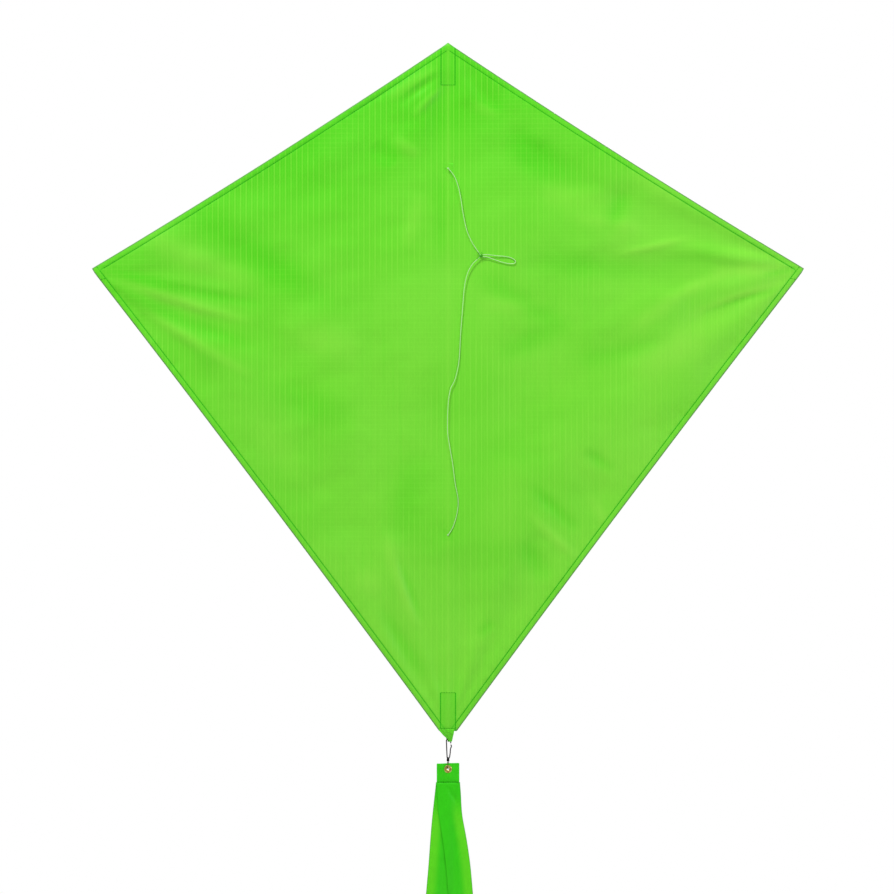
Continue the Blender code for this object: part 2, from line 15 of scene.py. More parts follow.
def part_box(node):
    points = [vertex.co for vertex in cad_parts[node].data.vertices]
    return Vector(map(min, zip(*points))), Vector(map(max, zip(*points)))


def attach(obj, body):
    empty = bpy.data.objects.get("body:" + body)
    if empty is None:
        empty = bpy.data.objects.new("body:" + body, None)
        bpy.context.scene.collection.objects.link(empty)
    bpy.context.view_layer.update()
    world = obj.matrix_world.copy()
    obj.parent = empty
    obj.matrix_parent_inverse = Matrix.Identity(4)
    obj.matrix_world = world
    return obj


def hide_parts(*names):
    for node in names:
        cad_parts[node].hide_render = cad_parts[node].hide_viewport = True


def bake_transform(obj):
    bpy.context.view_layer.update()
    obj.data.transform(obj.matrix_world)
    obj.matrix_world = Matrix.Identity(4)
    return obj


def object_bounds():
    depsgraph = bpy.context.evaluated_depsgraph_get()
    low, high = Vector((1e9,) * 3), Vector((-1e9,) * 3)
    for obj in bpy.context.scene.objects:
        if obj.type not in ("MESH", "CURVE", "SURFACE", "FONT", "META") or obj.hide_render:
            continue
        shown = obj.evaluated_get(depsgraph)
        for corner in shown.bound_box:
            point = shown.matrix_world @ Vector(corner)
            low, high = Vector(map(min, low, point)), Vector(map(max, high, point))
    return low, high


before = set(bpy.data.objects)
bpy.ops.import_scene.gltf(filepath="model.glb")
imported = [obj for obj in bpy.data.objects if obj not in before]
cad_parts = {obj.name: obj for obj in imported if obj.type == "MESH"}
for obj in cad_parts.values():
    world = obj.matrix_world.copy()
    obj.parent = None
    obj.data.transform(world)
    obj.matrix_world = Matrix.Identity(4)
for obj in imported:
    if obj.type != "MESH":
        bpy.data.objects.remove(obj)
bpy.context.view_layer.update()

# ---------------------------------------------------------------- places read from the frame

SAIL_LOW, SAIL_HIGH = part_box("sail")
SAIL_FRONT = -SAIL_LOW.y
SAIL_BACK = -SAIL_HIGH.y
SAIL_MIDDLE = (SAIL_FRONT + SAIL_BACK) / 2
POCKET_FRONT = -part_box("nose_pocket")[0].y
BRIDLE_DEPTH = -(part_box("tow_loop")[0].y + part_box("tow_loop")[1].y) / 2
SPINE_LOW, SPINE_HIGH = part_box("spine_rod")
SPINE_DEPTH = -(SPINE_LOW.y + SPINE_HIGH.y) / 2
ROD_RADIUS = (SPINE_HIGH.x - SPINE_LOW.x) / 2
SPAR_LOW, SPAR_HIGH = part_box("cross_spar")
SPAR_DEPTH = -(SPAR_HIGH.y) + ROD_RADIUS
HEADER_LOW, HEADER_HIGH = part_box("tail_header")
TAIL_DEPTH = -(HEADER_LOW.y + HEADER_HIGH.y) / 2
EYELET_LOW, EYELET_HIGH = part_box("tail_eyelet")
EYELET_HEIGHT = (EYELET_LOW.z + EYELET_HIGH.z) / 2
BARREL_LOW, BARREL_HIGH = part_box("swivel_barrel")
EYE_LOW, EYE_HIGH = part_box("swivel_eye")
RIBBON_LOW, RIBBON_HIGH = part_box("tail_ribbon_right")
UPPER_ANCHOR = (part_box("bridle_anchor_upper")[0].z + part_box("bridle_anchor_upper")[1].z) / 2
LOWER_ANCHOR = (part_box("bridle_anchor_lower")[0].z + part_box("bridle_anchor_lower")[1].z) / 2

# ---------------------------------------------------------------- sizes of the cloth work

LEADING_SAG = 0.003
TRAILING_SAG = 0.002
TIP_HEIGHT = 0.0010
TIP_CUT = (0.0028, -0.0038)
TAIL_CUT_HALF = 0.00925
HEM_WIDTH = 0.006
HEM_THICKNESS = 0.0009
SAIL_CLOTH = 0.00035
RIB_PITCH_ACROSS = 0.0060
RIB_PITCH_UP = 0.0052
NOSE_STITCH_HALF = 0.0075
TAIL_STITCH_HALF = 0.0081
LINE_RADIUS = 0.00035
WIRE_RADIUS = 0.0006
RIBBON_WIDTH = 0.0254
RIBBON_CLOTH = 0.00022
RIBBON_TOP_OFFSET = 0.0003
RIBBON_SPLAY = 0.0240
RIBBON_SPLAY_HEIGHT = 0.42
RELIEF_LIMIT = 0.0026
FOLD_GAIN = 0.92
FOLD_BEND = 0.015
# Fold height at which the painted light and shade of a fold is full
FULL_FOLD_LIGHT_HEIGHT = 0.0011
POCKET_CLOTH = 0.0003
# Where the shade of a bridle patch fades out, from the middle of the patch
PATCH_EDGE = (0.0058, 0.0064)
# Radians of the line's braid to a metre
BRAID_TURNS = 5200.0
# Distances inside the sail's edge of the closely spaced columns that carry the hem's relief
RIM_OFFSETS = (
    0.015, 0.0125, 0.0105, 0.009, 0.0078, 0.0069, 0.0064, 0.0060, 0.0056, 0.0051, 0.0042, 0.0030, 0.0018,
    0.0010, 0.0005, 0.0002, 0.0,
)
INNER_COLUMNS = 46
# How much of the sail's relief its hems follow
HEM_FOLLOWS = 0.92
STITCH_PITCH = 0.0025
STITCH_LENGTH = 0.0024
STITCH_RADIUS = 0.00022
STITCH_SIDES = 6
# A stitch's rings: place along it, width and rise, in shares of its half-length and radius
STITCH_RINGS = ((-1.0, 0.35, -0.9), (-0.7, 0.9, 0.1), (0.0, 1.0, 0.45), (0.7, 0.9, 0.1), (1.0, 0.35, -0.9))
# Random relief of the sail: height, seed, shortest and longest wave, in metres
SAIL_RIPPLES = ((0.0013, 11, 0.09, 0.24), (0.00035, 13, 0.04, 0.08), (0.00010, 12, 0.016, 0.03))

# Soft folds of the sail: (x, z) of each end, half-width and height, all in millimetres. The sail's colour is
# painted lighter where a fold stands out and deeper green where it sinks in: painted light and shade.
FOLDS = (
    # left wing
    (-335, 42, -196, -18, 12, 1.1), (-285, 70, -100, -52, 17, -1.0), (-366, 0, -195, -38, 6, -1.2),
    (-366, -8, -205, -57, 5, 1.5), (-345, -28, -205, -84, 8, -1.1), (-335, -36, -205, -116, 5, 1.3),
    (-190, -126, -95, -165, 18, -0.7), (-185, -62, -90, -86, 16, 0.7), (-28, 84, -44, 20, 7, 1.0),
    (-5, 100, -5, 0, 7, -0.6), (-215, -150, -130, -250, 16, 0.5),
    # right wing
    (192, 108, 260, 72, 12, 1.0), (190, 84, 172, 38, 8, -1.4), (60, 138, 145, 98, 18, -0.9),
    (92, 84, 178, 72, 13, 1.0), (180, 16, 262, 36, 3.5, 1.0), (70, 12, 250, -2, 13, -0.8),
    (225, 4, 300, 24, 8, -0.4), (372, 0, 280, -4, 6, 1.2), (300, -2, 232, -36, 6, 1.2),
    (250, -28, 195, -66, 8, 1.1),
    (374, 1, 335, -7, 3, -1.5), (360, -12, 255, -52, 4, 1.3), (356, -20, 262, -50, 3, -1.4),
    (28, -4, 135, -64, 10, -1.0), (28, -37, 110, -37, 9, 0.8), (125, -58, 52, -96, 11, -0.9),
    (190, -114, 305, -46, 17, 0.9), (130, -100, 245, -72, 10, -0.7), (120, 60, 215, 44, 8, 0.7),
    # nose
    (-8, 217, -66, 182, 6, 1.3), (-3, 212, -52, 176, 5, -1.5), (-6, 196, -38, 163, 4, 1.1),
    (-58, 142, -30, 121, 6, 1.0), (-80, 134, -56, 112, 9, -1.2), (12, 216, 58, 168, 6, -1.1),
    (24, 180, 56, 164, 7, 0.7), (-115, 161, -40, 208, 3, -0.9), (60, 150, 125, 98, 16, -0.8),
    # below
    (-68, -280, -30, -385, 7, 1.4), (-57, -300, -27, -380, 5, -1.5), (-75, -358, -22, -440, 7, -1.1),
    (-95, -320, -74, -350, 13, 0.7), (88, -230, 140, -280, 7, -1.3), (80, -288, 106, -335, 10, -1.1),
    (82, -256, 140, -310, 5, 1.2), (145, -192, 178, -216, 6, -1.2), (72, -200, 56, -300, 22, 0.8),
    (-34, -190, -48, -300, 18, -0.7), (30, -392, 50, -376, 6, -0.9), (150, -240, 176, -280, 6, 0.7),
)

# Route of the bridle line: X and Z in metres, as in the CAD model
UPPER_LEG_ROUTE = (
    (0.0, 0.1081), (0.0064, 0.1001), (0.0107, 0.0894), (0.0136, 0.0761), (0.0159, 0.0608),
    (0.0198, 0.0427), (0.0245, 0.0311), (0.0289, 0.0235), (0.0326, 0.0183), (0.0339, 0.0162),
)
LOWER_LEG_ROUTE = (
    (0.0336, 0.0128), (0.0314, 0.0108), (0.0264, 0.0059), (0.0217, -0.0022), (0.0188, -0.0118),
    (0.0173, -0.0214), (0.0163, -0.0326), (0.0135, -0.0686), (0.0118, -0.0973), (0.0077, -0.1172),
    (0.0026, -0.1284), (0.0, -0.1461), (-0.0005, -0.1718), (0.0012, -0.1861), (0.0046, -0.2060),
    (0.0077, -0.2291), (0.0108, -0.2464), (0.0097, -0.2606), (0.0055, -0.2749), (0.0, -0.2841),
)
TOW_LOOP_ROUTE = (
    (0.0369, 0.0154), (0.0417, 0.0157), (0.0512, 0.0147), (0.0629, 0.0135), (0.0693, 0.0114),
    (0.0723, 0.0083), (0.0693, 0.0060), (0.0608, 0.0069), (0.0512, 0.0098), (0.0426, 0.0129),
    (0.0369, 0.0134),
)
KNOT = (0.0346, 0.0144)
KNOT_SIDES = 10
# Points of the snap's wire: X and Z in metres
SNAP_GATE_ROUTE = (
    (0.0013, -0.5232), (0.0018, -0.5216), (0.0023, -0.5180), (0.0026, -0.5140), (0.0031, -0.5124),
    (0.0036, -0.5110), (0.0034, -0.5099), (0.0029, -0.5090),
)
SNAP_BEND = {"x": 0.0006, "z": -0.5052, "radius": 0.0024}
EYE_TURN = math.radians(20)
EYE_TOP = -0.5274
EYE_WIRE_RADIUS = 0.00045
WIRE_SIDES = 14


# ---------------------------------------------------------------- materials


class Tree:
    """A material's nodes, with a short call for each kind of node that is used here."""

    def __init__(self, name):
        self.material = bpy.data.materials.new(name)
        self.material.use_nodes = True
        self.nodes = self.material.node_tree.nodes
        self.links = self.material.node_tree.links
        self.shader = self.nodes["Principled BSDF"]
        self.place = self.nodes.new("ShaderNodeTexCoord").outputs["Object"]

    def feed(self, socket, value):
        if isinstance(value, bpy.types.NodeSocket):
            self.links.new(value, socket)
        else:
            socket.default_value = value

    def feed_colour(self, socket, colour):
        self.feed(socket, colour if isinstance(colour, bpy.types.NodeSocket) else (*colour, 1.0))

    def axes(self):
        split = self.nodes.new("ShaderNodeSeparateXYZ")
        self.links.new(self.place, split.inputs[0])
        return split.outputs

    def math(self, operation, first, second=0.0):
        node = self.nodes.new("ShaderNodeMath")
        node.operation = operation
        self.feed(node.inputs[0], first)
        self.feed(node.inputs[1], second)
        return node.outputs[0]

    def add(self, first, second):
        return self.math("ADD", first, second)

    def times(self, first, second):
        return self.math("MULTIPLY", first, second)

    def gap(self, first, second):
        """How far apart two values are."""
        return self.math("ABSOLUTE", self.math("SUBTRACT", first, second))

    def fit(self, value, low, high, to_low=0.0, to_high=1.0):
        """The value carried smoothly from the range low..high to to_low..to_high."""
        node = self.nodes.new("ShaderNodeMapRange")
        node.interpolation_type = "SMOOTHSTEP"
        for socket, number in zip(node.inputs, (value, low, high, to_low, to_high)):
            self.feed(socket, number)
        return node.outputs[0]

    def noise(self, scale, detail=2.0, stretch=(1, 1, 1)):
        mapping = self.nodes.new("ShaderNodeMapping")
        mapping.inputs["Scale"].default_value = stretch
        self.links.new(self.place, mapping.inputs["Vector"])
        node = self.nodes.new("ShaderNodeTexNoise")
        node.inputs["Scale"].default_value = scale
        node.inputs["Detail"].default_value = detail
        self.links.new(mapping.outputs[0], node.inputs["Vector"])
        return node.outputs["Fac"]

    def mix(self, share, first, second):
        node = self.nodes.new("ShaderNodeMix")
        node.data_type = "RGBA"
        self.feed(node.inputs[0], share)
        self.feed_colour(node.inputs[6], first)
        self.feed_colour(node.inputs[7], second)
        return node.outputs[2]

    def ribs(self, coordinate, pitch, sharpness):
        """1 on the thick threads that repeat at this pitch, and near 0 between them."""
        wave = self.math("COSINE", self.times(coordinate, 2 * math.pi / pitch))
        return self.math("POWER", self.times(self.add(wave, 1.0), 0.5), sharpness)

    def attribute(self, name):
        node = self.nodes.new("ShaderNodeAttribute")
        node.attribute_name = name
        return node.outputs["Fac"]

    def bump(self, height, distance, strength=1.0):
        node = self.nodes.new("ShaderNodeBump")
        node.inputs["Strength"].default_value = strength
        node.inputs["Distance"].default_value = distance
        self.links.new(height, node.inputs["Height"])
        self.links.new(node.outputs[0], self.shader.inputs["Normal"])

    def finish(self, colour, roughness, metallic=0.0, specular=0.5, sheen=0.0):
        self.feed_colour(self.shader.inputs["Base Color"], colour)
        self.feed(self.shader.inputs["Roughness"], roughness)
        self.shader.inputs["Metallic"].default_value = metallic
        self.shader.inputs["Specular IOR Level"].default_value = specular
        self.shader.inputs["Sheen Weight"].default_value = sheen
        return self.material


def scaled(colour, factor):
    return tuple(channel * factor for channel in colour)


def tinted(colour, factors, lift=(0, 0, 0)):
    """The colour with each channel multiplied by its own factor and then raised, up to 1."""
    return tuple(min(1.0, channel * factor + rise) for channel, factor, rise in zip(colour, factors, lift))


def ripstop(name, colour, tones=None, marks=None, rib_share=0.40, specular=0.22):
    """Thin coated nylon with a grid of thick threads. A piece can have its own tones, which make the cloth
    lighter or deeper as painted light and shade, and its own marks of painted light and shade, which are
    painted over the weave."""
    tree = Tree(name)
    x, _, z = tree.axes()
    across = tree.ribs(x, RIB_PITCH_ACROSS, 9.0)
    fine = tree.ribs(x, RIB_PITCH_ACROSS / 2, 5.0)
    up = tree.ribs(z, RIB_PITCH_UP, 8.0)
    patches = tree.fit(tree.noise(7.0, 1.0), 0.40, 0.62)
    upright = tree.add(across, tree.times(fine, 0.30))
    level = tree.times(up, tree.fit(patches, 0.0, 1.0, 0.02, 0.34))
    grid = tree.add(tree.times(upright, tree.fit(patches, 1.0, 0.0, 0.35, 1.0)), level)
    streaks = tree.noise(60.0, 2.0, (6, 1, 0.12))
    light = tinted(colour, (1.70, 1.10, 2.6), (0.010, 0, 0.008))
    deep = tinted(colour, (0.62, 0.95, 0.55))
    tone = tree.fit(tree.noise(4.2, 3.0), 0.30, 0.70, 0.20, 0.56)
    if tones:
        tone = tones(tree, tone, x, z)
    base = tree.mix(tone, deep, light)
    base = tree.mix(tree.times(grid, rib_share), base, scaled(light, 1.06))
    base = tree.mix(tree.fit(streaks, 0.45, 0.75, 0.0, 0.12), base, deep)
    if marks:
        base = marks(tree, base, x, z, colour)
    weave = tree.noise(2600.0, 1.0)
    tree.bump(tree.add(grid, tree.times(weave, 0.5)), 0.00010, 0.55)
    roughness = tree.fit(tree.noise(9.0, 2.0), 0.3, 0.7, 0.40, 0.52)
    return tree.finish(base, roughness, specular=specular)


def sail_painted_light(tree, tone, x, z):
    """Painted light on folds that stand out and painted shade in sunken ones, painted light towards the right
    and the tail, and painted shade, deeper green, towards the nose.
    """
    # Painted light and shade from the folds' relief
    tone = tree.add(tone, tree.times(tree.attribute("raised"), 0.36))
    # Painted light towards the right and the tail, painted shade towards the nose
    for place, low, high, at_low, at_high in (
        (x, -0.30, 0.30, -0.04, 0.22), (z, 0.02, 0.22, 0.0, -0.52), (z, -0.45, -0.10, 0.16, 0.0),
    ):
        tone = tree.add(tone, tree.fit(place, low, high, at_low, at_high))
    return tone


def sewn_band_light_and_shade(tree, base, x, z, colour):
    """Painted shade, deeper green, where the sail is doubled and lets less light through: the hems, the two
    spine pockets and the bridle patches. Also painted shade in the seam grooves and on the rolled edge, and a
    painted lighter band along the spine.
    """
    deep = tinted(colour, (0.60, 0.94, 0.60))
    # Lighter tint for the painted light along the spine
    spine_band_light = tinted(colour, (1.7, 1.12, 2.2), (0.03, 0, 0.02))
    # Colours of painted shade: in the seam grooves, and on the sail's rolled outer edge
    seam_shade, edge_shade = (0.036, 0.550, 0.005), (0.115, 0.270, 0.070)
    off_centre = tree.math("ABSOLUTE", x)
    inside = tree.attribute("edge_distance")
    hem = tree.fit(inside, HEM_WIDTH - 0.0003, HEM_WIDTH + 0.0004, 1.0, 0.0)
    # Painted shade on the doubled hem
    base = tree.mix(tree.times(hem, 0.25), base, deep)
    # Painted shade in the groove along the hem's seam
    base = tree.mix(tree.fit(tree.gap(inside, HEM_WIDTH), 0.0003, 0.0011, 0.66, 0.0), base, seam_shade)
    # Painted shade on the sail's rolled outer edge
    base = tree.mix(tree.fit(inside, 0.0004, 0.0016, 0.9, 0.0), base, edge_shade)
    nose_end, tail_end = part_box("nose_pocket")[0].z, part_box("tail_pocket")[1].z
    past_stitch = tree.math(
        "SUBTRACT", off_centre, tree.fit(z, -0.1, 0.1, TAIL_STITCH_HALF, NOSE_STITCH_HALF)
    )
    strip = tree.fit(past_stitch, 0.0, 0.0004, 1.0, 0.0)
    along_pocket = tree.add(
        tree.fit(z, nose_end - 0.0002, nose_end + 0.0002),
        tree.fit(z, tail_end - 0.0002, tail_end + 0.0002, 1.0, 0.0),
    )
    # Painted shade on the doubled cloth over the spine pockets
    base = tree.mix(tree.times(tree.times(strip, along_pocket), 0.40), base, deep)
    stitched = tree.fit(tree.math("ABSOLUTE", past_stitch), 0.0003, 0.0010, 0.85, 0.0)
    # Painted shade in the grooves along the pockets' stitching
    base = tree.mix(tree.times(stitched, along_pocket), base, seam_shade)
    beside = tree.fit(off_centre, *PATCH_EDGE, 1.0, 0.0)
    for height in (UPPER_ANCHOR, LOWER_ANCHOR):
        patch = tree.times(tree.fit(tree.gap(z, height), *PATCH_EDGE, 1.0, 0.0), beside)
        # Painted shade on the doubled cloth of the bridle patches
        base = tree.mix(tree.times(patch, 0.18), base, deep)
    # Painted light in a narrow band along the spine
    return tree.mix(tree.fit(off_centre, 0.0010, 0.0045, 0.16, 0.0), base, spine_band_light)


def ribbon_light_and_shade(tree, base, x, z, colour):
    """Painted light where light comes through a ribbon's outer part, with no other ribbon behind it. The
    edges are painted darker, as painted shade.
    """
    lit_through = tinted(colour, (3.0, 1.16, 3.0), (0.008, 0, 0))
    base = tree.mix(tree.times(tree.attribute("lit_through"), 0.85), base, lit_through)
    # Painted shade along the ribbon's edges, weaker on its inner edge
    rim = tree.fit(tree.attribute("to_edge"), 0.93, 0.99, 0.0, 0.75)
    return tree.mix(rim, base, (0.085, 0.280, 0.030))


def thread_material(name, colour):
    tree = Tree(name)
    twist = tree.noise(900.0, 2.0)
    base = tree.mix(tree.fit(twist, 0.3, 0.7), scaled(colour, 0.8), colour)
    tree.bump(twist, 0.00005, 0.5)
    return tree.finish(base, 0.6, specular=0.10)


def line_material():
    """Braided white polyester line, painted green as a painted reflection of the light the green sail throws
    on it, and darker between the strands as painted shade.
    """
    tree = Tree("bridle_line")
    x, _, z = tree.axes()
    first = tree.math("SINE", tree.times(tree.add(x, z), BRAID_TURNS))
    second = tree.math("SINE", tree.times(tree.math("SUBTRACT", x, z), BRAID_TURNS))
    braid = tree.math("MAXIMUM", first, second)
    # Painted shade between the braid's strands, and painted green light from the sail
    base = tree.mix(tree.fit(braid, -0.5, 1.0), (0.34, 0.67, 0.23), (0.56, 0.84, 0.42))
    tree.bump(braid, 0.00008, 0.6)
    return tree.finish(base, 0.62, specular=0.3, sheen=0.1)


def fibreglass_material():
    tree = Tree("rod_fibreglass")
    streaks = tree.noise(260.0, 3.0, (1, 1, 0.03))
    fibres = tree.mix(tree.fit(streaks, 0.3, 0.7), (0.70, 0.72, 0.62), (0.84, 0.85, 0.78))
    tree.bump(streaks, 0.00006, 0.4)
    return tree.finish(fibres, tree.fit(streaks, 0.2, 0.8, 0.26, 0.40), specular=0.5)


def moulded_material(name, colour, roughness, grain):
    tree = Tree(name)
    speckle = tree.noise(grain, 3.0)
    scuffs = tree.noise(90.0, 4.0)
    base = tree.mix(tree.fit(scuffs, 0.45, 0.75, 0.0, 0.5), colour, scaled(colour, 0.82))
    tree.bump(speckle, 0.00006, 0.5)
    return tree.finish(base, tree.fit(scuffs, 0.3, 0.7, roughness - 0.05, roughness + 0.1), specular=0.45)


def metal_material(name, colour, tarnish, roughness):
    tree = Tree(name)
    wear = tree.noise(420.0, 4.0)
    base = tree.mix(tree.fit(wear, 0.40, 0.70), colour, tarnish)
    tree.bump(tree.noise(1500.0, 2.0), 0.00003, 0.4)
    return tree.finish(base, tree.fit(wear, 0.3, 0.7, roughness - 0.06, roughness + 0.1), metallic=1.0)


LIME = (0.136, 0.675, 0.016)
TAIL_GREEN = (0.040, 0.640, 0.005)
SAIL = ripstop("sail_ripstop", LIME, sail_painted_light, sewn_band_light_and_shade)
# The trim cloth's green, painted lighter to make up for the little light on the steep tail tab: painted light
LIGHTENED_TRIM = ripstop("lightened_trim_ripstop", (0.115, 0.720, 0.014), rib_share=0.2)
TAIL_CLOTH = ripstop("tail_ripstop", TAIL_GREEN, marks=ribbon_light_and_shade, rib_share=0.08, specular=0.14)
THREAD = thread_material("green_thread", (0.030, 0.470, 0.004))
GREEN_LIT_LINE = line_material()
# The knot's line is white; its deep green is painted shade inside the tight knot
SHADED_KNOT_LINE = thread_material("shaded_knot_line", (0.070, 0.450, 0.030))
FIBREGLASS = fibreglass_material()
VINYL = moulded_material("cap_vinyl", (0.78, 0.80, 0.76), 0.42, 700.0)
CROSS_PLASTIC = moulded_material("cross_plastic", (0.80, 0.82, 0.78), 0.36, 1100.0)
NICKEL = metal_material("black_nickel", (0.016, 0.014, 0.013), (0.008, 0.007, 0.006), 0.22)
AGED_BRASS = metal_material("swivel_eye_brass", (0.12, 0.085, 0.026), (0.05, 0.035, 0.012), 0.25)
BRASS = metal_material("eyelet_brass", (0.96, 0.82, 0.30), (0.52, 0.38, 0.06), 0.20)


# ---------------------------------------------------------------- mesh tools


def piece_from(name, shape, material, body, stands_for=None):
    """A new smooth mesh piece, and the CAD node it stands for. A piece that is to bend between two bodies has
    no body of its own."""
    points, faces = shape
    mesh = bpy.data.meshes.new(name)
    mesh.from_pydata([tuple(map(float, p)) for p in points], [], faces)
    mesh.update()
    mesh.shade_smooth()
    mesh.materials.append(material)
    piece = bpy.data.objects.new(name, mesh)
    bpy.context.scene.collection.objects.link(piece)
    if body:
        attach(piece, body)
    if stands_for:
        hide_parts(stands_for)
    return piece


def face_outwards(piece):
    """Turns the piece's faces outwards, and joins points that coincide."""
    shape = bmesh.new()
    shape.from_mesh(piece.data)
    bmesh.ops.remove_doubles(shape, verts=shape.verts, dist=0.000002)
    bmesh.ops.recalc_face_normals(shape, faces=shape.faces)
    shape.to_mesh(piece.data)
    shape.free()
    piece.data.shade_smooth()


def store(piece, label, values):
    """Keeps one number for each point of the piece, for its material to read."""
    piece.data.attributes.new(label, "FLOAT", "POINT").data.foreach_set("value", np.array(values, np.float32))


def sharpen(piece):
    piece.data.set_sharp_from_angle(angle=math.radians(40))


def thicken(piece, thickness):
    modifier = piece.modifiers.new("thickness", "SOLIDIFY")
    modifier.thickness = thickness
    modifier.offset = 0.0


def grid_faces(rows, columns, wrap=False):
    last = columns if wrap else columns - 1
    return [
        (i * columns + j, i * columns + (j + 1) % columns,
         (i + 1) * columns + (j + 1) % columns, (i + 1) * columns + j)
        for i in range(rows - 1)
        for j in range(last)
    ]


def tube_faces(rings, sides, closed):
    """Faces of rings of points, either closed on themselves or capped at both ends."""
    faces = grid_faces(rings, sides, wrap=True)
    last = (rings - 1) * sides
    if closed:
        return faces + [(last + k, last + (k + 1) % sides, (k + 1) % sides, k) for k in range(sides)]
    return faces + [tuple(reversed(range(sides))), tuple(range(last, last + sides))]


def circle(steps):
    """(cosine, sine) of evenly spaced angles."""
    angles = [2 * math.pi * k / steps for k in range(steps)]
    return [(math.cos(angle), math.sin(angle)) for angle in angles]


def smooth_route(route, step):
    """Evenly spaced points on a smooth curve through the route's own points, in as many axes as it has."""
    route = np.array(route, float)
    ends = np.vstack([route[:1], route, route[-1:]])
    t = np.linspace(0, 1, 24, endpoint=False)[:, None]
    dense = [
        0.5 * (2 * b + (c - a) * t + (2 * a - 5 * b + 4 * c - d) * t**2 + (3 * b - a - 3 * c + d) * t**3)
        for a, b, c, d in zip(ends, ends[1:], ends[2:], ends[3:])
    ]
    dense = np.vstack([*dense, route[-1:]])
    along = np.concatenate([[0], np.cumsum(np.linalg.norm(np.diff(dense, axis=0), axis=1))])
    count = max(2, round(along[-1] / step))
    wanted = np.linspace(0, along[-1], count + 1)
    return np.stack([np.interp(wanted, along, dense[:, k]) for k in range(route.shape[1])], axis=1)


def tube_shape(points, radius, sides=12, closed=False):
    """(points, faces) of a round tube. The radius is one number or one for each point."""
    points = [Vector(p) for p in points]
    count = len(points)
    radii = [radius] * count if isinstance(radius, float) else radius
    tangents = []
    for i in range(count):
        before = points[i - 1] if closed or i else points[i]
        after = points[(i + 1) % count] if closed or i < count - 1 else points[i]
        tangents.append((after - before).normalized())
    sides_at = [tangents[0].orthogonal().normalized()]
    for before, after in zip(tangents, tangents[1:]):
        sides_at.append(before.rotation_difference(after) @ sides_at[-1])
    shape, turn = [], 0.0
    if closed:
        carried = tangents[-1].rotation_difference(tangents[0]) @ sides_at[-1]
        turn = carried.angle(sides_at[0])
        if carried.cross(sides_at[0]).dot(tangents[0]) < 0:
            turn = -turn
    for i in range(count):
        u = Matrix.Rotation(turn * i / count, 3, tangents[i]) @ sides_at[i]
        v = tangents[i].cross(u)
        shape += [points[i] + (u * c + v * s) * radii[i] for c, s in circle(sides)]
    return shape, tube_faces(count, sides, closed)


def level_tube(route, depth, step, radius, sides):
    """A tube along a route of (x, z), all of it at one depth."""
    return tube_shape([(x, -depth, z) for x, z in smooth_route(route, step)], radius, sides)


def join_shapes(shapes):
    points, faces = [], []
    for some_points, some_faces in shapes:
        start = len(points)
        points += list(some_points)
        faces += [tuple(start + i for i in face) for face in some_faces]
    return points, faces


def turned_shape(profile, matrix, steps, ring=False):
    """A profile of (radius, height) turned about the local Z axis, then placed by the matrix."""
    points = [matrix @ Vector((r * c, r * s, h)) for r, h in profile for c, s in circle(steps)]
    return points, tube_faces(len(profile), steps, ring)


def rounded(profile, radius, steps=3):
    """The profile with each inner corner replaced by a short curve."""
    result = [profile[0]]
    for before, corner, after in zip(profile, profile[1:], profile[2:]):
        a, b, c = Vector(before), Vector(corner), Vector(after)
        reach = min(radius, (a - b).length / 2.2, (c - b).length / 2.2)
        start = b + (a - b).normalized() * reach
        end = b + (c - b).normalized() * reach
        for i in range(steps + 1):
            t = i / steps
            result.append(tuple(start * (1 - t) ** 2 + b * 2 * t * (1 - t) + end * t * t))
    return result + [profile[-1]]


def arc(centre, radius, first, last, steps):
    angles = [math.radians(first + (last - first) * i / steps) for i in range(steps + 1)]
    return [(centre[0] + radius * math.cos(a), centre[1] + radius * math.sin(a)) for a in angles]


# ---------------------------------------------------------------- the sail's outline and its relief


class Edge:
    """A bowed edge of the sail's right half, in X and Z."""

    def __init__(self, start, end, sag):
        self.start, self.end = np.array(start, float), np.array(end, float)
        self.sag = sag
        chord = self.end - self.start
        self.length = float(np.linalg.norm(chord))
        self.along = chord / self.length
        self.inward = np.array((self.along[1], -self.along[0]))
        if self.inward.dot(self.start + self.end) > 0:
            self.inward = -self.inward

    def at(self, share):
        share = np.asarray(share, float)[..., None]
        bow = self.sag * 4 * share * (1 - share)
        return self.start + self.along * self.length * share + self.inward * bow

    def inside(self, x, z):
        """(distance along the edge, distance inside it) of points given by |x| and z."""
        dx, dz = np.abs(x) - self.start[0], z - self.start[1]
        along = dx * self.along[0] + dz * self.along[1]
        share = np.clip(along / self.length, 0, 1)
        return along, dx * self.inward[0] + dz * self.inward[1] - self.sag * 4 * share * (1 - share)


NOSE = (0.0, SAIL_HIGH.z)
TIP = (SAIL_HIGH.x, TIP_HEIGHT)
UNDER_TIP = (SAIL_HIGH.x - TIP_CUT[0], TIP_CUT[1])
TAIL_CORNER = (TAIL_CUT_HALF, SAIL_LOW.z)
LEADING = Edge(NOSE, TIP, LEADING_SAG)
TRAILING = Edge(UNDER_TIP, TAIL_CORNER, TRAILING_SAG)


def edge_distance(x, z):
    """How far a point of the sail lies inside its nearest hemmed edge."""
    return np.minimum(LEADING.inside(x, z)[1], TRAILING.inside(x, z)[1])


def ripple(a, b, seed, low, high, waves=14):
    """Smooth random relief, about -1 to 1, with wavelengths between low and high."""
    random = np.random.RandomState(seed)
    total = np.zeros(np.shape(a))
    for _ in range(waves):
        pitch = random.uniform(low, high)
        angle, phase = random.uniform(0, 2 * math.pi, 2)
        total = total + np.sin((a * math.cos(angle) + b * math.sin(angle)) * 2 * math.pi / pitch + phase)
    return total / math.sqrt(waves)


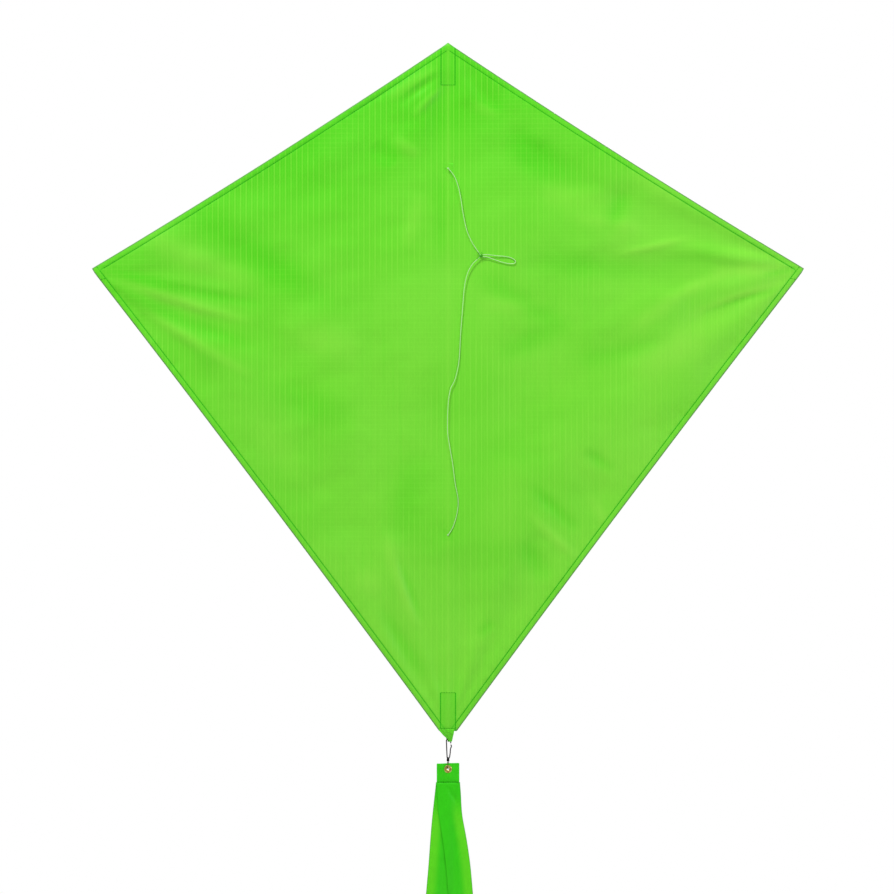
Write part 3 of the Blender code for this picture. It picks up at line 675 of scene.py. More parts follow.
def corner_folds(x, z, corner, reach, count, seed):
    """Tension folds that fan out from a corner of the sail, and die away from it."""
    random = np.random.RandomState(seed)
    dx, dz = x - corner[0], z - corner[1]
    far = np.hypot(dx, dz)
    angle = np.arctan2(dz, dx)
    if corner[0] > 0:
        angle = np.mod(angle, 2 * math.pi)
    wave = np.zeros(np.shape(x))
    for _ in range(6):
        wave = wave + np.sin(angle * random.uniform(0.6, 1.4) * count + random.uniform(0, 6.28))
    return wave / 2.4 * (far / reach) * np.exp(1 - far / reach)


def fold_relief(x, z):
    total = np.zeros(np.shape(x))
    for row in FOLDS:
        x0, z0, x1, z1, width, height = (value / 1000 for value in row)
        dx, dz = x1 - x0, z1 - z0
        length = math.hypot(dx, dz)
        share = ((x - x0) * dx + (z - z0) * dz) / length**2
        arch = np.sin(math.pi * np.clip(share, 0, 1))
        across = ((x - x0) * dz - (z - z0) * dx) / length - FOLD_BEND * length * arch
        total = total + height * arch**0.9 * np.exp(-((across / width) ** 2))
    return total


def relief(x, z):
    """Height of the sail's cloth above its flat plane, towards the front."""
    x, z = np.asarray(x, float), np.asarray(z, float)
    total = fold_relief(x, z) * FOLD_GAIN
    for height, seed, shortest, longest in SAIL_RIPPLES:
        total = total + height * ripple(x, z, seed, shortest, longest)
    for corner, reach, count, seed in (
        ((-TIP[0], TIP[1]), 0.10, 16, 21), ((TIP[0], TIP[1]), 0.10, 16, 25),
        (NOSE, 0.06, 9, 23), ((0.0, SAIL_LOW.z), 0.09, 14, 24),
    ):
        total = total + 0.0011 * corner_folds(x, z, corner, reach, count, seed)
    near_line = np.exp(-(((x - 0.025) / 0.035) ** 2)) * np.exp(-(((z + 0.08) / 0.19) ** 6))
    total = total * (1 - 0.72 * near_line)
    for px, pz in ((0.0, 0.222), (0.0, -0.474), (0.354, 0.0), (-0.354, 0.0)):
        total = total * (1 - 0.88 * np.exp(-(((x - px) / 0.020) ** 2) - ((z - pz) / 0.024) ** 2))
    inside = edge_distance(x, z)
    total = total * (0.35 + 0.65 * np.clip(inside / 0.03, 0, 1) ** 0.7)
    total = RELIEF_LIMIT * np.tanh(total / RELIEF_LIMIT)
    along = np.where(z > 0, LEADING.inside(x, z)[0], TRAILING.inside(x, z)[0]) * np.sign(x + 1e-9)
    pucker = ripple(along, inside * 0.25, 31, 0.009, 0.022, 10) * np.tanh(np.abs(x) / 0.003)
    total = total + 0.00020 * pucker * np.exp(-np.abs(inside - HEM_WIDTH) / 0.007)
    total = total - 0.00022 * np.exp(-(((inside - HEM_WIDTH) / 0.0008) ** 2))
    total = total + 0.00016 * np.exp(-(((inside - 0.003) / 0.0022) ** 2))
    return total - 0.0003 * np.exp(-np.clip(inside, 0, 1) / 0.0007)


def front_depth(x, z):
    return SAIL_FRONT + relief(x, z)


# ---------------------------------------------------------------- sail


def sail_rows():
    """(half-width, height, spread) of each row. The spread is the sideways distance for each distance inside
    the edge."""
    leading = LEADING.at(np.linspace(0.0, 1.0, 110) ** 0.92)
    trailing = TRAILING.at(np.linspace(0.0, 1.0, 180))
    spread_leading = 1 / abs(LEADING.inward[0])
    spread_trailing = 1 / abs(TRAILING.inward[0])
    rows = [(max(p[0], 0.0004), p[1], spread_leading) for p in leading]
    rows.append(((TIP[0] + UNDER_TIP[0]) / 2, (TIP[1] + UNDER_TIP[1]) / 2, spread_trailing))
    return rows + [(p[0], p[1], spread_trailing) for p in trailing]


def make_sail():
    points = []
    for half_width, z, spread in sail_rows():
        rim = [offset * spread for offset in RIM_OFFSETS]
        shrink = min(1.0, half_width * 0.8 / rim[0])
        start = half_width - rim[0] * shrink
        right = [start * j / INNER_COLUMNS for j in range(INNER_COLUMNS)]
        right += [half_width - offset * shrink for offset in rim]
        points += [(x, z) for x in [-x for x in reversed(right[1:])] + right]
    columns = 2 * (INNER_COLUMNS + len(RIM_OFFSETS)) - 1
    x, z = np.array(points).T
    places = np.stack([x, -SAIL_MIDDLE - relief(x, z), z], axis=1)
    shape = places, grid_faces(len(points) // columns, columns)
    sail = piece_from("sail_cloth", shape, SAIL, "kite", "sail")
    store(sail, "edge_distance", edge_distance(x, z))
    # Share of painted light on folds that stand out, and of painted shade in sunken ones
    store(sail, "raised", np.tanh(fold_relief(x, z) / FULL_FOLD_LIGHT_HEIGHT))
    thicken(sail, SAIL_CLOTH)
    return sail, flat_area()


def flat_area():
    """Area of the sail's outline."""
    right = np.vstack([LEADING.at(np.linspace(0, 1, 60)), TRAILING.at(np.linspace(0, 1, 60))])
    widths = (right[1:, 0] + right[:-1, 0]) / 2
    return float(abs(np.sum(widths * np.diff(right[:, 1]))) * 2)


# ---------------------------------------------------------------- hems


def hem_profile():
    """Cross-section of the folded hem: distance in from the edge, and depth behind the sail."""
    half_width, half_thick = HEM_WIDTH / 2 + 0.00045, HEM_THICKNESS / 2
    return [
        (HEM_WIDTH / 2 + 0.0002 - half_width * math.copysign(abs(c) ** 0.35, c),
         half_thick * math.copysign(abs(s) ** 0.6, s))
        for c, s in circle(22)
    ]


def make_hem(name, edge, side, first, last):
    stations = np.linspace(first, last, int(edge.length * (last - first) / 0.0025))
    profile = hem_profile()
    places, backs = [], []
    for share, outer in zip(stations, edge.at(stations)):
        plump = 1 + 0.16 * float(ripple(share * edge.length, 0.0, 41, 0.007, 0.016, 8))
        for inward, back in profile:
            flat = outer + edge.inward * inward
            places.append((side * flat[0], flat[1]))
            backs.append(back * plump)
    x, z = np.array(places).T
    depth = SAIL_BACK - HEM_THICKNESS / 2 - 0.00012 + relief(x, z) * HEM_FOLLOWS - np.array(backs)
    rows, columns = len(stations), len(profile)
    faces = grid_faces(rows, columns, wrap=True)
    faces += [tuple(range(columns)), tuple(range((rows - 1) * columns, rows * columns))]
    shape = np.stack([x, -depth, z], axis=1), faces
    hem = piece_from(name + "_cloth", shape, LIGHTENED_TRIM, "kite", name)
    face_outwards(hem)
    return hem


def make_hems():
    hems = []
    for side_name, side in (("right", 1), ("left", -1)):
        hems.append(make_hem(f"hem_leading_{side_name}", LEADING, side, 0.006, 0.994))
        hems.append(make_hem(f"hem_trailing_{side_name}", TRAILING, side, 0.006, 0.999))
    return hems


# ---------------------------------------------------------------- stitches


def stitches(path, depth_at, outward):
    """Thread stitches along a path of (x, z). They lie on the surface whose depth depth_at gives, and bulge
    towards the front where outward is 1 and towards the back where it is -1."""
    if len(path) > 2:
        even = smooth_route(path, STITCH_PITCH)
    else:
        even = np.linspace(*path, max(2, round(math.dist(*path) / STITCH_PITCH) + 1))
    shapes = []
    normal = np.array((0.0, -outward, 0.0))
    middles = (even[1:] + even[:-1]) / 2
    depths = depth_at(middles[:, 0], middles[:, 1])
    for (x, z), (dx, dz), depth in zip(middles, even[1:] - even[:-1], depths):
        along = np.array((dx, 0.0, dz)) / math.hypot(dx, dz)
        side = np.cross(along, normal)
        centre = np.array((x, -depth, z))
        points = [
            centre + along * reach * STITCH_LENGTH / 2
            + ((side * c + normal * s) * swell + normal * rise) * STITCH_RADIUS
            for reach, swell, rise in STITCH_RINGS
            for c, s in circle(STITCH_SIDES)
        ]
        shapes.append((points, tube_faces(len(STITCH_RINGS), STITCH_SIDES, False)))
    return join_shapes(shapes)


def seam_line(edge, side, first, last):
    flat = edge.at(np.linspace(first, last, 24)) + edge.inward * HEM_WIDTH
    return [(side * float(x), float(z)) for x, z in flat]


def tip_bar(side):
    """The short row across the lower hem at a wing tip, which closes the corner's sewn square."""
    start = TRAILING.at(0.0150) + TRAILING.inward * 0.0006
    end = TRAILING.at(0.0190) + TRAILING.inward * HEM_WIDTH
    return [(side * float(x), float(z)) for x, z in (start, end)]


def rectangle(low, high, half, open_top=False):
    sides = [[(-half, low), (-half, high)], [(half, low), (half, high)], [(-half, low), (half, low)]]
    if not open_top:
        sides.append([(-half, high), (half, high)])
    return sides


def make_stitches():
    front, back = [], []
    nose_low, nose_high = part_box("nose_pocket")
    tail_low, tail_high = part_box("tail_pocket")
    behind = SAIL_BACK - HEM_THICKNESS - 0.00022
    for side in (1, -1):
        leading = seam_line(LEADING, side, 0.012, 0.976)
        trailing = seam_line(TRAILING, side, -0.0070, 0.990)
        for path in (leading, trailing, tip_bar(side)):
            front.append(stitches(path, front_depth, 1))
            if len(path) > 2:
                back.append(stitches(path, lambda x, z: behind + relief(x, z) * HEM_FOLLOWS, -1))
    lines = rectangle(nose_low.z + 0.0008, nose_high.z + 0.0005, NOSE_STITCH_HALF, open_top=True)
    lines += rectangle(tail_low.z + 0.0003, tail_high.z + 0.0001, TAIL_STITCH_HALF)
    front += [stitches(path, front_depth, 1) for path in lines]
    return [
        piece_from(name, join_shapes(shapes), THREAD, "kite")
        for name, shapes in (("stitches_front", front), ("stitches_back", back))
    ]


# ---------------------------------------------------------------- pockets and patches


def pocket_ridge(half_width):
    """Half of a pocket's cross-section: distance from the rod's line, and height behind the flat strip."""
    return smooth_route((
        (half_width, 0.0002), (half_width * 0.82, 0.0001), (0.0052, 0.0003), (0.0045, 0.0012),
        (0.0041, 0.0028), (0.0039, 0.0042), (0.0034, 0.0057), (0.0022, 0.0069), (0.0008, 0.00735),
        (0.0, 0.0074),
    ), 0.0005)


def make_pocket(name, low, high, half_width, closed_high, place):
    """A pocket along a line. place turns (along, across, height) into a point of the frame."""
    half = pocket_ridge(half_width)
    profile = np.vstack([half, (half[:-1] * (-1, 1))[::-1]])
    stations = np.linspace(low, high, max(12, round((high - low) / 0.0010)))
    points = []
    for along in stations:
        to_end = (high - along) if closed_high else (along - low)
        closing = math.sqrt(max(0.0, 1 - max(0.0, 1 - to_end / 0.0024) ** 2))
        for across, height in profile:
            crease = 0.00022 * float(ripple(along, across * 0.8, 51 + len(name), 0.006, 0.016, 8))
            swell = 0.0 if height < 0.0004 else crease
            points.append(place(along, across * (0.97 + 0.03 * closing), (height + swell) * closing))
    shape = points, grid_faces(len(stations), len(profile))
    pocket = piece_from(name + "_cloth", shape, LIGHTENED_TRIM, "kite", name)
    thicken(pocket, POCKET_CLOTH)
    seams = []
    for sign in (1, -1):
        for k in range(int((high - low - 0.002) / 0.0027)):
            middle = low + 0.0022 + 0.0027 * k
            across = sign * (half_width - 0.0016)
            ends = [place(middle + step, across, 0.00045) for step in (-0.001, 0.0, 0.001)]
            seams.append(tube_shape(ends, [0.0001, 0.0002, 0.0001], 6))
    return [pocket, piece_from(name + "_seam", join_shapes(seams), THREAD, "kite")]


def make_pockets():
    made = []
    level = -POCKET_FRONT + 0.0002
    for name in ("nose_pocket", "tail_pocket"):
        low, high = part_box(name)
        closed_high = name == "nose_pocket"
        made += make_pocket(name, low.z, high.z, high.x, closed_high, lambda a, c, h: (c, level + h, a))
    for name, side in (("wing_pocket_right", 1), ("wing_pocket_left", -1)):
        low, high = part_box(name)
        ends = sorted((abs(low.x), abs(high.x)))
        made += make_pocket(name, *ends, high.z, True, lambda a, c, h, s=side: (s * a, level + h, c))
    return made


def make_patch(name):
    """A square of cloth behind the sail, with a hole for the bridle line."""
    low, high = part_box(name)
    middle = (low + high) / 2
    half, hole, rings, around = (high.x - low.x) / 2, 0.0010, 8, 48
    points = []
    for i in range(rings):
        share = i / (rings - 1)
        for k, (c, s) in enumerate(circle(around)):
            longer = max(abs(c), abs(s))
            reach = half / longer * (0.97 if longer < 0.78 else 1.0)
            radius = hole + (reach - hole) * share
            x, z = middle.x + c * radius, middle.z + s * radius
            lift = 0.00012 * math.sin(share * math.pi) + 0.00005 * math.sin(10 * math.pi * k / around)
            points.append((x, middle.y + lift - float(relief(x, z)) * 0.5, z))
    shape = points, grid_faces(rings, around, wrap=True)
    patch = piece_from(name + "_cloth", shape, LIGHTENED_TRIM, "kite", name)
    thicken(patch, POCKET_CLOTH)
    return patch


# ---------------------------------------------------------------- rods, caps and cross


def make_rods():
    steps = 40
    length = SPINE_HIGH.z - SPINE_LOW.z
    spine = [(0, -SPINE_DEPTH, SPINE_LOW.z + length * i / steps) for i in range(steps + 1)]
    spar = []
    for i in range(2 * steps + 1):
        share = abs(i / steps - 1)
        depth = SPAR_DEPTH + (SPINE_DEPTH - SPAR_DEPTH) * share**2 * (3 - 2 * share)
        spar.append((SPAR_HIGH.x * (i / steps - 1), -depth, 0))
    for name, route in (("spine_rod", spine), ("cross_spar", spar)):
        shape = tube_shape(route, ROD_RADIUS * 0.99, 32)
        sharpen(piece_from(name + "_fibreglass", shape, FIBREGLASS, "kite", name))


def make_cap(name, end, direction):
    """A dipped vinyl cap: a thick-lipped sleeve with a domed end."""
    radius, inner, lip = 0.0028, 0.0021, -0.0086
    profile = [
        (0.0, 0.0003), (inner, 0.0003), (inner, lip), (inner + 0.0002, lip), (inner + 0.00035, lip),
        (radius + 0.00012, lip + 0.0001), (radius + 0.00014, lip + 0.0010), (radius, lip + 0.0013),
        (radius, 0.0006), *arc((radius - 0.0009, 0.0006), 0.0009, 0, 80, 5), (0.0, 0.00152),
    ]
    profile = [(max(r, 0.00001), h) for r, h in rounded(profile, 0.00015)]
    turn = Vector((0, 0, 1)).rotation_difference(Vector(direction)).to_matrix().to_4x4()
    shape = turned_shape(profile, Matrix.Translation(Vector(end)) @ turn, 40)
    cap = piece_from(name + "_vinyl", shape, VINYL, "kite", name)
    face_outwards(cap)
    sharpen(cap)


def make_caps():
    make_cap("spine_cap_nose", (0, -SPINE_DEPTH, SPINE_HIGH.z), (0, 0, 1))
    make_cap("spine_cap_tail", (0, -SPINE_DEPTH, SPINE_LOW.z), (0, 0, -1))
    make_cap("spar_cap_right", (SPAR_HIGH.x, -SPINE_DEPTH, 0), (1, 0, 0))
    make_cap("spar_cap_left", (SPAR_LOW.x, -SPINE_DEPTH, 0), (-1, 0, 0))


def finish_cross():
    """The CAD cross keeps its shape, with its edges rounded as a moulding's are."""
    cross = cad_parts["rod_cross"]
    cross.material_slots[0].material = CROSS_PLASTIC
    bevel = cross.modifiers.new("round_edges", "BEVEL")
    bevel.width = 0.0005
    bevel.segments = 3
    bevel.limit_method = "ANGLE"
    bevel.angle_limit = math.radians(50)


# ---------------------------------------------------------------- bridle


def line_curve(name, route, body, step=0.0015):
    """The line as a curve of one open spline, along a route of (x, z)."""
    even = smooth_route(route, step)
    curve = bpy.data.curves.new(name, "CURVE")
    curve.dimensions = "3D"
    curve.bevel_depth = LINE_RADIUS
    curve.bevel_resolution = 4
    curve.use_fill_caps = True
    spline = curve.splines.new("POLY")
    spline.points.add(len(even) - 1)
    for point, (x, z) in zip(spline.points, even):
        point.co = (x, -BRIDLE_DEPTH, z, 1)
    spline.use_smooth = True
    curve.materials.append(GREEN_LIT_LINE)
    piece = bpy.data.objects.new(name, curve)
    bpy.context.scene.collection.objects.link(piece)
    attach(piece, body)
    return piece


def wraps(centre, axis, radius, turns, pitch, line_radius):
    """A short helix of line about an axis, as in a knot."""
    axis = Vector(axis).normalized()
    u = axis.orthogonal().normalized()
    v = axis.cross(u)
    count = int(turns * 18)
    points = []
    for i in range(count + 1):
        angle = 2 * math.pi * turns * i / count
        along = pitch * turns * (i / count - 0.5)
        points.append(Vector(centre) + axis * along + (u * math.cos(angle) + v * math.sin(angle)) * radius)
    return tube_shape(points, line_radius, KNOT_SIDES)


def make_knot():
    x, z = KNOT
    centre = (x + 0.0002, -BRIDLE_DEPTH, z)
    shapes = [wraps(centre, (1, 0, 0.08), 0.00085, 3.2, 0.00072, 0.00036)]
    strands = (
        ((0.0326, 0.0183), (0.0342, 0.0153), (0.0362, 0.0149), (0.0376, 0.0154)),
        ((0.0314, 0.0108), (0.0338, 0.0132), (0.0358, 0.0141), (0.0376, 0.0134)),
    )
    shapes += [level_tube(strand, BRIDLE_DEPTH, 0.0005, 0.00038, KNOT_SIDES) for strand in strands]
    tag = ((0.0352, 0.0141), (0.0362, 0.0166), (0.0359, 0.0184))
    shapes.append(level_tube(tag, BRIDLE_DEPTH + 0.0007, 0.0005, 0.00036, KNOT_SIDES))
    shape = join_shapes(shapes)
    return piece_from("bridle_knot_line", shape, SHADED_KNOT_LINE, "bridle", "bridle_knot")


def make_anchor(name, height):
    """Two turns of line round the spine, a strand through the sail, and a small knot in front of it."""
    loop_radius = ROD_RADIUS + LINE_RADIUS + 0.0001
    shapes = [wraps((0, -SPINE_DEPTH, height), (0, 0, 1), loop_radius, 2.0, 0.0009, 0.00036)]
    through = ((0.0004, SPINE_DEPTH + loop_radius), (0.0001, SAIL_BACK), (0.0, BRIDLE_DEPTH - 0.0002))
    shapes.append(tube_shape([(x, -depth, height) for x, depth in through], 0.00036, KNOT_SIDES))
    shapes.append(wraps((0, -SAIL_FRONT - 0.0008, height), (0, 1, 0), 0.00062, 1.6, 0.0005, 0.00034))
    piece_from(name + "_line", join_shapes(shapes), GREEN_LIT_LINE, "kite", name)


def make_bridle():
    in_the_knot = (0.0350, 0.0146)
    line = line_curve("bridle_line", (*UPPER_LEG_ROUTE, in_the_knot, *LOWER_LEG_ROUTE), "bridle")
    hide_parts("bridle_upper_leg", "bridle_lower_leg")
    knot = make_knot()
    loop = line_curve("tow_loop_line", TOW_LOOP_ROUTE, "tow_loop", 0.001)
    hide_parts("tow_loop")
    make_anchor("bridle_anchor_upper", UPPER_ANCHOR)
    make_anchor("bridle_anchor_lower", LOWER_ANCHOR)


# ---------------------------------------------------------------- tail tab, snap and swivel


# Rows of the tab's strip, from its sewn end over the snap's bend to its end behind the sail:
# X of the left side, X of the right side, depth and Z, in metres
TAB_ROWS = (
    (-0.0104, 0.0066, 0.0150, -0.4916), (-0.0096, 0.0066, 0.0150, -0.4930),
    (-0.0072, 0.0062, 0.0146, -0.4960), (-0.0046, 0.0055, 0.0138, -0.4990),
    (-0.0018, 0.0050, 0.0128, -0.5014), (0.0004, 0.0046, 0.0118, -0.5036),
    (0.0013, 0.0038, 0.0109, -0.5054), (-0.0004, 0.0022, 0.0095, -0.5057),
    (-0.0004, 0.0022, 0.0083, -0.5050), (-0.0018, 0.0022, 0.0077, -0.5030),
    (-0.0026, 0.0028, 0.0082, -0.5000), (-0.0030, 0.0036, 0.0100, -0.4960),
    (-0.0034, 0.0042, 0.0122, -0.4915),
)
# Two lines along which the strip is folded over itself: a point of each, and the direction across it
TAB_FOLDS = (((-0.0039, -0.4924), (0.535, 0.845)), ((-0.0058, -0.4937), (0.747, 0.665)))


def make_tail_tab():
    """A folded strip that carries on from the left lower hem, twists, and passes through the snap's bend."""
    even = smooth_route(TAB_ROWS, 0.0003)
    columns = 41
    points = []
    lowest = int(np.argmin(even[:, 3]))
    for i, (left, right, depth, z) in enumerate(even):
        flat = min(1.0, max(0.0, (z + 0.5040) / 0.004)) if i < lowest else 0.0
        for j in range(columns):
            share = j / (columns - 1)
            x = left + (right - left) * share
            height = 0.0
            for (px, pz), (ax, az) in TAB_FOLDS:
                height += 0.0003 * flat * math.tanh(((x - px) * ax + (z - pz) * az) / 0.00025)
            height += 0.00014 * flat * float(ripple(x + z, z, 81, 0.002, 0.005, 8))
            height -= 0.0003 * (2 * share - 1) ** 2
            points.append((x, -(depth + height), z))
    shape = points, grid_faces(len(even), columns)
    thicken(piece_from("tail_tab_cloth", shape, LIGHTENED_TRIM, "kite", "tail_tab"), 0.0004)


def make_snap():
    """The hairpin snap: a bend, a long left leg, and the springy gate with the bump that latches."""
    bend = arc((SNAP_BEND["x"], SNAP_BEND["z"]), SNAP_BEND["radius"], -12, 192, 20)
    leg = [(0.0029, -0.5076), *bend, (-0.0016, -0.5083), (-0.0013, -0.5160), (-0.0010, -0.5220)]
    leg.append((-0.0008, -0.5236))
    wire = level_tube(leg, TAIL_DEPTH, 0.0003, WIRE_RADIUS, WIRE_SIDES)
    collar = wraps((0.0002, -TAIL_DEPTH, -0.5236), (0, 0, 1), 0.00118, 2.2, 0.00062, 0.0003)
    piece_from("snap_wire_nickel", join_shapes([wire, collar]), NICKEL, "snap", "snap_wire")
    gate = level_tube(SNAP_GATE_ROUTE, TAIL_DEPTH, 0.0003, WIRE_RADIUS, WIRE_SIDES)
    piece_from("snap_gate_nickel", gate, NICKEL, "gate", "snap_gate")


def make_swivel():
    """The barrel, a hollow turned body, and the eye: a ring whose stem turns in the barrel."""
    low, high = BARREL_LOW.z, BARREL_HIGH.z
    profile = [
        (0.00001, high), (0.0008, high), (0.0012, high - 0.0004), (0.00145, high - 0.0009),
        (0.0015, high - 0.0012), (0.00138, high - 0.0014), (0.0015, high - 0.0016), (0.0015, low + 0.0008),
        (0.0012, low + 0.0002), (0.0010, low), (0.0006, low), (0.0006, low + 0.0009), (0.0010, low + 0.0009),
        (0.0010, high - 0.0004), (0.00001, high - 0.0004),
    ]
    axis = Matrix.Translation((0, -TAIL_DEPTH, 0))
    barrel = turned_shape(rounded(profile, 0.0001), axis, 48)
    face_outwards(
        piece_from("swivel_barrel_nickel", barrel, NICKEL, "snap", "swivel_barrel")
    )
    bottom = EYELET_HEIGHT + 0.0005
    middle, half_height = (EYE_TOP + bottom) / 2, (EYE_TOP - bottom) / 2
    half_width = (EYE_HIGH.y - EYE_LOW.y) / 2 - EYE_WIRE_RADIUS
    aside, forward = half_width * math.sin(EYE_TURN), half_width * math.cos(EYE_TURN)
    ring = [(aside * c, -TAIL_DEPTH + forward * c, middle + half_height * s) for c, s in circle(48)]
    stem = [
        (0.00001, low + 0.0017), (0.0008, low + 0.0017), (0.0008, low + 0.0011), (0.0004, low + 0.0011),
        (0.0004, EYE_TOP - 0.0001), (0.00001, EYE_TOP - 0.0001),
    ]
    eye = join_shapes([
        tube_shape(ring, EYE_WIRE_RADIUS, WIRE_SIDES, closed=True),
        turned_shape(rounded(stem, 0.0001), axis, 32),
    ])
    face_outwards(piece_from("swivel_eye_nickel", eye, AGED_BRASS, "swivel", "swivel_eye"))


# ---------------------------------------------------------------- tail


def make_eyelet():
    """The eyelet, rolled over at the front and flared at the back, and the washer behind the cloth."""
    hole, flange = 0.0012, (EYELET_HIGH.x - EYELET_LOW.x) / 2
    front, back = -EYELET_LOW.y - TAIL_DEPTH, -EYELET_HIGH.y - TAIL_DEPTH
    face = front - 0.0007
    profile = [
        (hole + 0.0001, back + 0.0001), (hole, back + 0.0004), (hole, face + 0.0002),
        (hole + 0.0002, front - 0.0002), (hole + 0.0006, front), (hole + 0.0013, front - 0.0001),
        (flange - 0.0003, face + 0.00045), (flange, face + 0.0002), (flange - 0.0001, face),
        (hole + 0.0006, face), (hole + 0.0006, back + 0.0003), (hole + 0.0015, back + 0.0003),
        (hole + 0.0017, back + 0.00015), (hole + 0.0015, back), (hole + 0.0006, back),
        (hole + 0.0001, back + 0.0001),
    ]
    low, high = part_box("eyelet_washer")
    front, back = -low.y - TAIL_DEPTH, -high.y - TAIL_DEPTH
    inner = hole + 0.0015
    washer = [
        (inner, front), (flange - 0.0001, front), (flange, front - 0.0001), (flange - 0.0001, front - 0.0002),
        (inner + 0.0008, back), (inner, back), (inner, front),
    ]
    turn = Matrix.Translation((0, -TAIL_DEPTH, EYELET_HEIGHT)) @ Matrix.Rotation(math.radians(90), 4, "X")
    for name, outline, corner in (("tail_eyelet", profile, 0.0001), ("eyelet_washer", washer, 0.00006)):
        shape = turned_shape(rounded(outline, corner)[:-1], turn, 64, ring=True)
        face_outwards(piece_from(name + "_brass", shape, BRASS, "tail", name))


def make_header():
    """The folded square of cloth over the ribbons' top, with a hole for the eyelet and a seam."""
    hole, rings, around = 0.0027, 20, 96
    seam_height = HEADER_LOW.z + 0.0010
    points = []
    for i in range(rings):
        share = (i / (rings - 1)) ** 0.9
        for c, s in circle(around):
            top = HEADER_HIGH.z - EYELET_HEIGHT - 0.0003 + 0.0003 * c
            bottom = EYELET_HEIGHT - HEADER_LOW.z
            reach_x = (HEADER_HIGH.x - 0.0001) / max(abs(c), 1e-6)
            reach_z = (top if s > 0 else bottom) / max(abs(s), 1e-6)
            radius = hole + (min(reach_x, reach_z) - hole) * share
            x, z = c * radius, EYELET_HEIGHT + s * radius
            puff = 0.00035 * float(ripple(x, z, 61, 0.010, 0.024, 8)) * min(1.0, share * 3)
            seam = 0.0003 * math.exp(-(((z - seam_height) / 0.0006) ** 2))
            points.append((x, -(TAIL_DEPTH + puff - seam), z))
    shape = points, grid_faces(rings, around, wrap=True)
    thicken(piece_from("tail_header_cloth", shape, TAIL_CLOTH, "tail", "tail_header"), 0.0011)
    half = HEADER_HIGH.x - 0.0006
    path = [(-half, seam_height), (half, seam_height + 0.0002)]
    rows = [
        stitches(path, lambda x, z: np.full(len(x), TAIL_DEPTH + outward * 0.00055), outward)
        for outward in (1, -1)
    ]
    piece_from("tail_header_seam", join_shapes(rows), THREAD, "tail")


def smooth_step(value, low, high):
    share = min(1.0, max(0.0, (value - low) / (high - low)))
    return share * share * (3 - 2 * share)


def ribbon_middle(drop, side):
    share = min(drop / RIBBON_SPLAY_HEIGHT, 1)
    middle = RIBBON_TOP_OFFSET + RIBBON_SPLAY * (1 - (1 - share) ** 2)
    lean = smooth_step(drop, 0.035, 0.095)
    if side > 0:
        return middle + 0.0017 * lean - 0.0014 * math.exp(-(((drop - 0.030) / 0.018) ** 2))
    return 0.0010 * lean - middle


def opening(drop):
    """How far the ribbons have come away from the header's pinch: 0 at the seam, towards 1 below."""
    return 1 - math.exp(-drop / 0.045)


def tail_wave(x, drop):
    """How the hanging ribbons bow out of their plane. Both share it, so they never meet."""
    grow = 1 - math.exp(-drop / 0.10)
    slow = 0.0030 * math.sin(drop * 13 + 0.6) + 0.0016 * math.sin(drop * 29 + x * 40)
    folds = 0.0013 * math.cos(x * 190 + 0.7 + 1.2 * math.sin(drop * 9))
    folds += 0.0004 * math.sin(x * 520 + drop * 14)
    crease = math.exp(-(((x * 0.85 - (drop - 0.0045) * 0.52) / 0.0022) ** 2) - ((drop - 0.013) / 0.009) ** 2)
    return grow * slow + opening(drop) * folds - 0.0011 * crease


def make_ribbon(name, side, layer, seed):
    top = HEADER_LOW.z + 0.0008
    rows, columns = 300, 37
    points, lit_through, to_edge = [], [], []
    for i in range(rows):
        z = top - (top - RIBBON_LOW.z) * i / (rows - 1)
        drop = max(0.0, RIBBON_HIGH.z - z)
        middle = ribbon_middle(drop, side)
        opened = opening(drop)
        widen = 1 + (0.035 * smooth_step(drop, 0.035, 0.095) if side > 0 else 0.0)
        for j in range(columns):
            c = 2 * j / (columns - 1) - 1
            x = middle + c * RIBBON_WIDTH / 2 * widen
            small = 0.00014 * float(ripple(x, z, seed, 0.010, 0.03, 8)) * min(1.0, drop / 0.01)
            lift = layer * (0.0003 + 0.0003 * opened) + tail_wave(x, drop)
            points.append((x, -(TAIL_DEPTH + lift + small), z))
            # Share of painted light through the ribbon's outer part, and the edge measure for the painted
            # shade along its edges
            lit_through.append(smooth_step(side * c, -0.05, 0.60) * smooth_step(drop, 0.008, 0.045))
            to_edge.append(max(side * c, 0.94 * abs(c)))
    shape = points, grid_faces(rows, columns)
    ribbon = piece_from(name + "_cloth", shape, TAIL_CLOTH, None, name)
    store(ribbon, "lit_through", lit_through)
    store(ribbon, "to_edge", to_edge)
    thicken(ribbon, RIBBON_CLOTH)
    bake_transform(ribbon)


# ---------------------------------------------------------------- studio


def area_light(name, place, target, power, size):
    data = bpy.data.lights.new(name, "AREA")
    data.energy = power
    data.shape = "DISK"
    data.size = size
    light = bpy.data.objects.new(name, data)
    light.location = place
    light.rotation_euler = (Vector(target) - Vector(place)).to_track_quat("-Z", "Y").to_euler()
    bpy.context.scene.collection.objects.link(light)


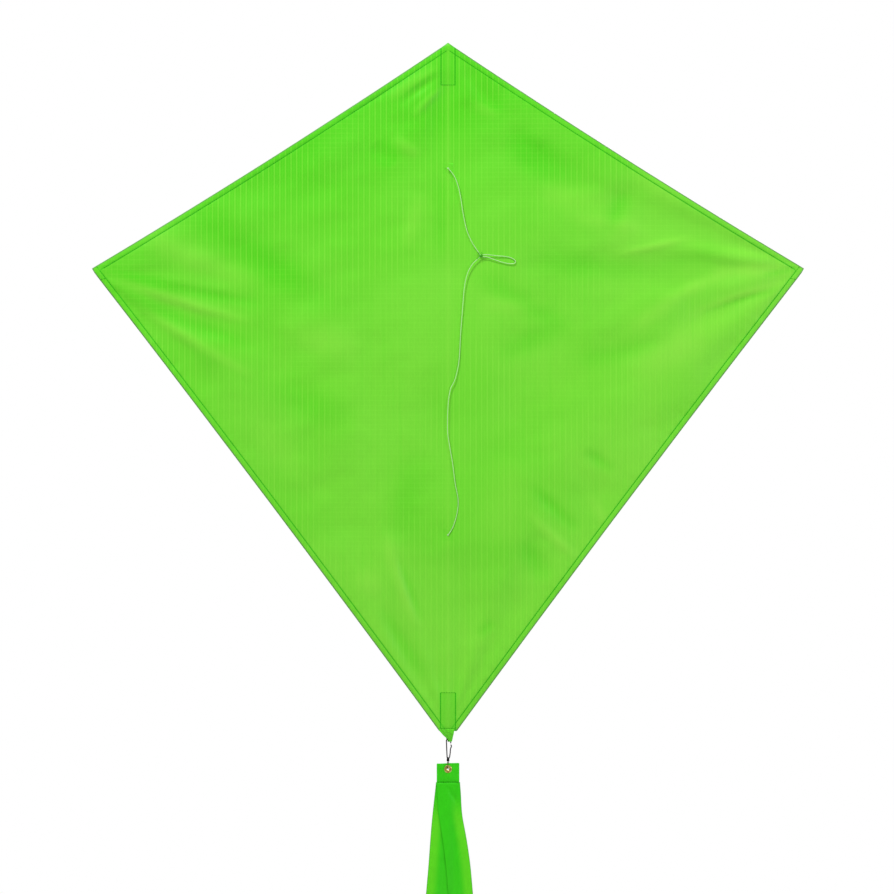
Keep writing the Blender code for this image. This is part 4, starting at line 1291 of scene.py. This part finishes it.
def make_studio():
    scene = bpy.context.scene
    scene.view_settings.view_transform = "Standard"
    world = bpy.data.worlds.new("white_studio")
    scene.world = world
    world.use_nodes = True
    nodes, links = world.node_tree.nodes, world.node_tree.links
    seen, shining = nodes["Background"], nodes.new("ShaderNodeBackground")
    for background, strength in ((seen, 1.0), (shining, 0.34)):
        background.inputs["Color"].default_value = (1, 1, 1, 1)
        background.inputs["Strength"].default_value = strength
    rays = nodes.new("ShaderNodeLightPath")
    choose = nodes.new("ShaderNodeMixShader")
    links.new(rays.outputs["Is Camera Ray"], choose.inputs[0])
    links.new(shining.outputs[0], choose.inputs[1])
    links.new(seen.outputs[0], choose.inputs[2])
    links.new(choose.outputs[0], nodes["World Output"].inputs["Surface"])
    middle = (0, 0, -0.12)
    area_light("key", (-0.95, -1.15, 1.95), middle, 58, 0.5)
    area_light("fill", (1.9, -2.0, 0.2), middle, 22, 1.2)
    area_light("back_soft", (0.6, 2.4, 0.9), middle, 34, 1.4)


def make_floor():
    """A pale disc under the hanging tail."""
    floor_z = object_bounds()[0][2] - 0.02
    radius, steps = 1.5, 96
    ring = [(radius * c, radius * s, floor_z) for c, s in circle(steps)]
    mesh = bpy.data.meshes.new("floor")
    mesh.from_pydata(ring, [], [tuple(range(steps))])
    tree = Tree("floor_paint")
    mottled = tree.mix(tree.noise(6.0, 3.0), (0.80, 0.80, 0.79), (0.84, 0.84, 0.83))
    mesh.materials.append(tree.finish(mottled, 0.6, specular=0.3))
    floor = bpy.data.objects.new("floor", mesh)
    bpy.context.scene.collection.objects.link(floor)


def make_camera():
    """Straight in front, level with the middle of the view, which cuts the tail off."""
    lens, sensor, view_width = 100.0, 36.0, 0.9568
    middle_x, middle_z = -0.0011, -0.1900
    data = bpy.data.cameras.new("camera")
    data.lens = lens
    data.sensor_width = sensor
    camera = bpy.data.objects.new("camera", data)
    camera.location = (middle_x, -SAIL_MIDDLE - view_width * lens / sensor, middle_z)
    camera.rotation_euler = (math.radians(90), 0, 0)
    bpy.context.scene.collection.objects.link(camera)
    bpy.context.scene.camera = camera


# ---------------------------------------------------------------- everything


make_camera()
make_bridle()
sail, sail_area = make_sail()
sewn_on = make_hems() + make_stitches() + make_pockets()
sewn_on += [make_patch("bridle_patch_upper"), make_patch("bridle_patch_lower")]
make_rods()
make_caps()
finish_cross()
make_tail_tab()
make_snap()
make_swivel()
make_eyelet()
make_header()
make_ribbon("tail_ribbon_right", 1, 1, 71)
make_ribbon("tail_ribbon_left", -1, -1, 72)
make_studio()
make_floor()
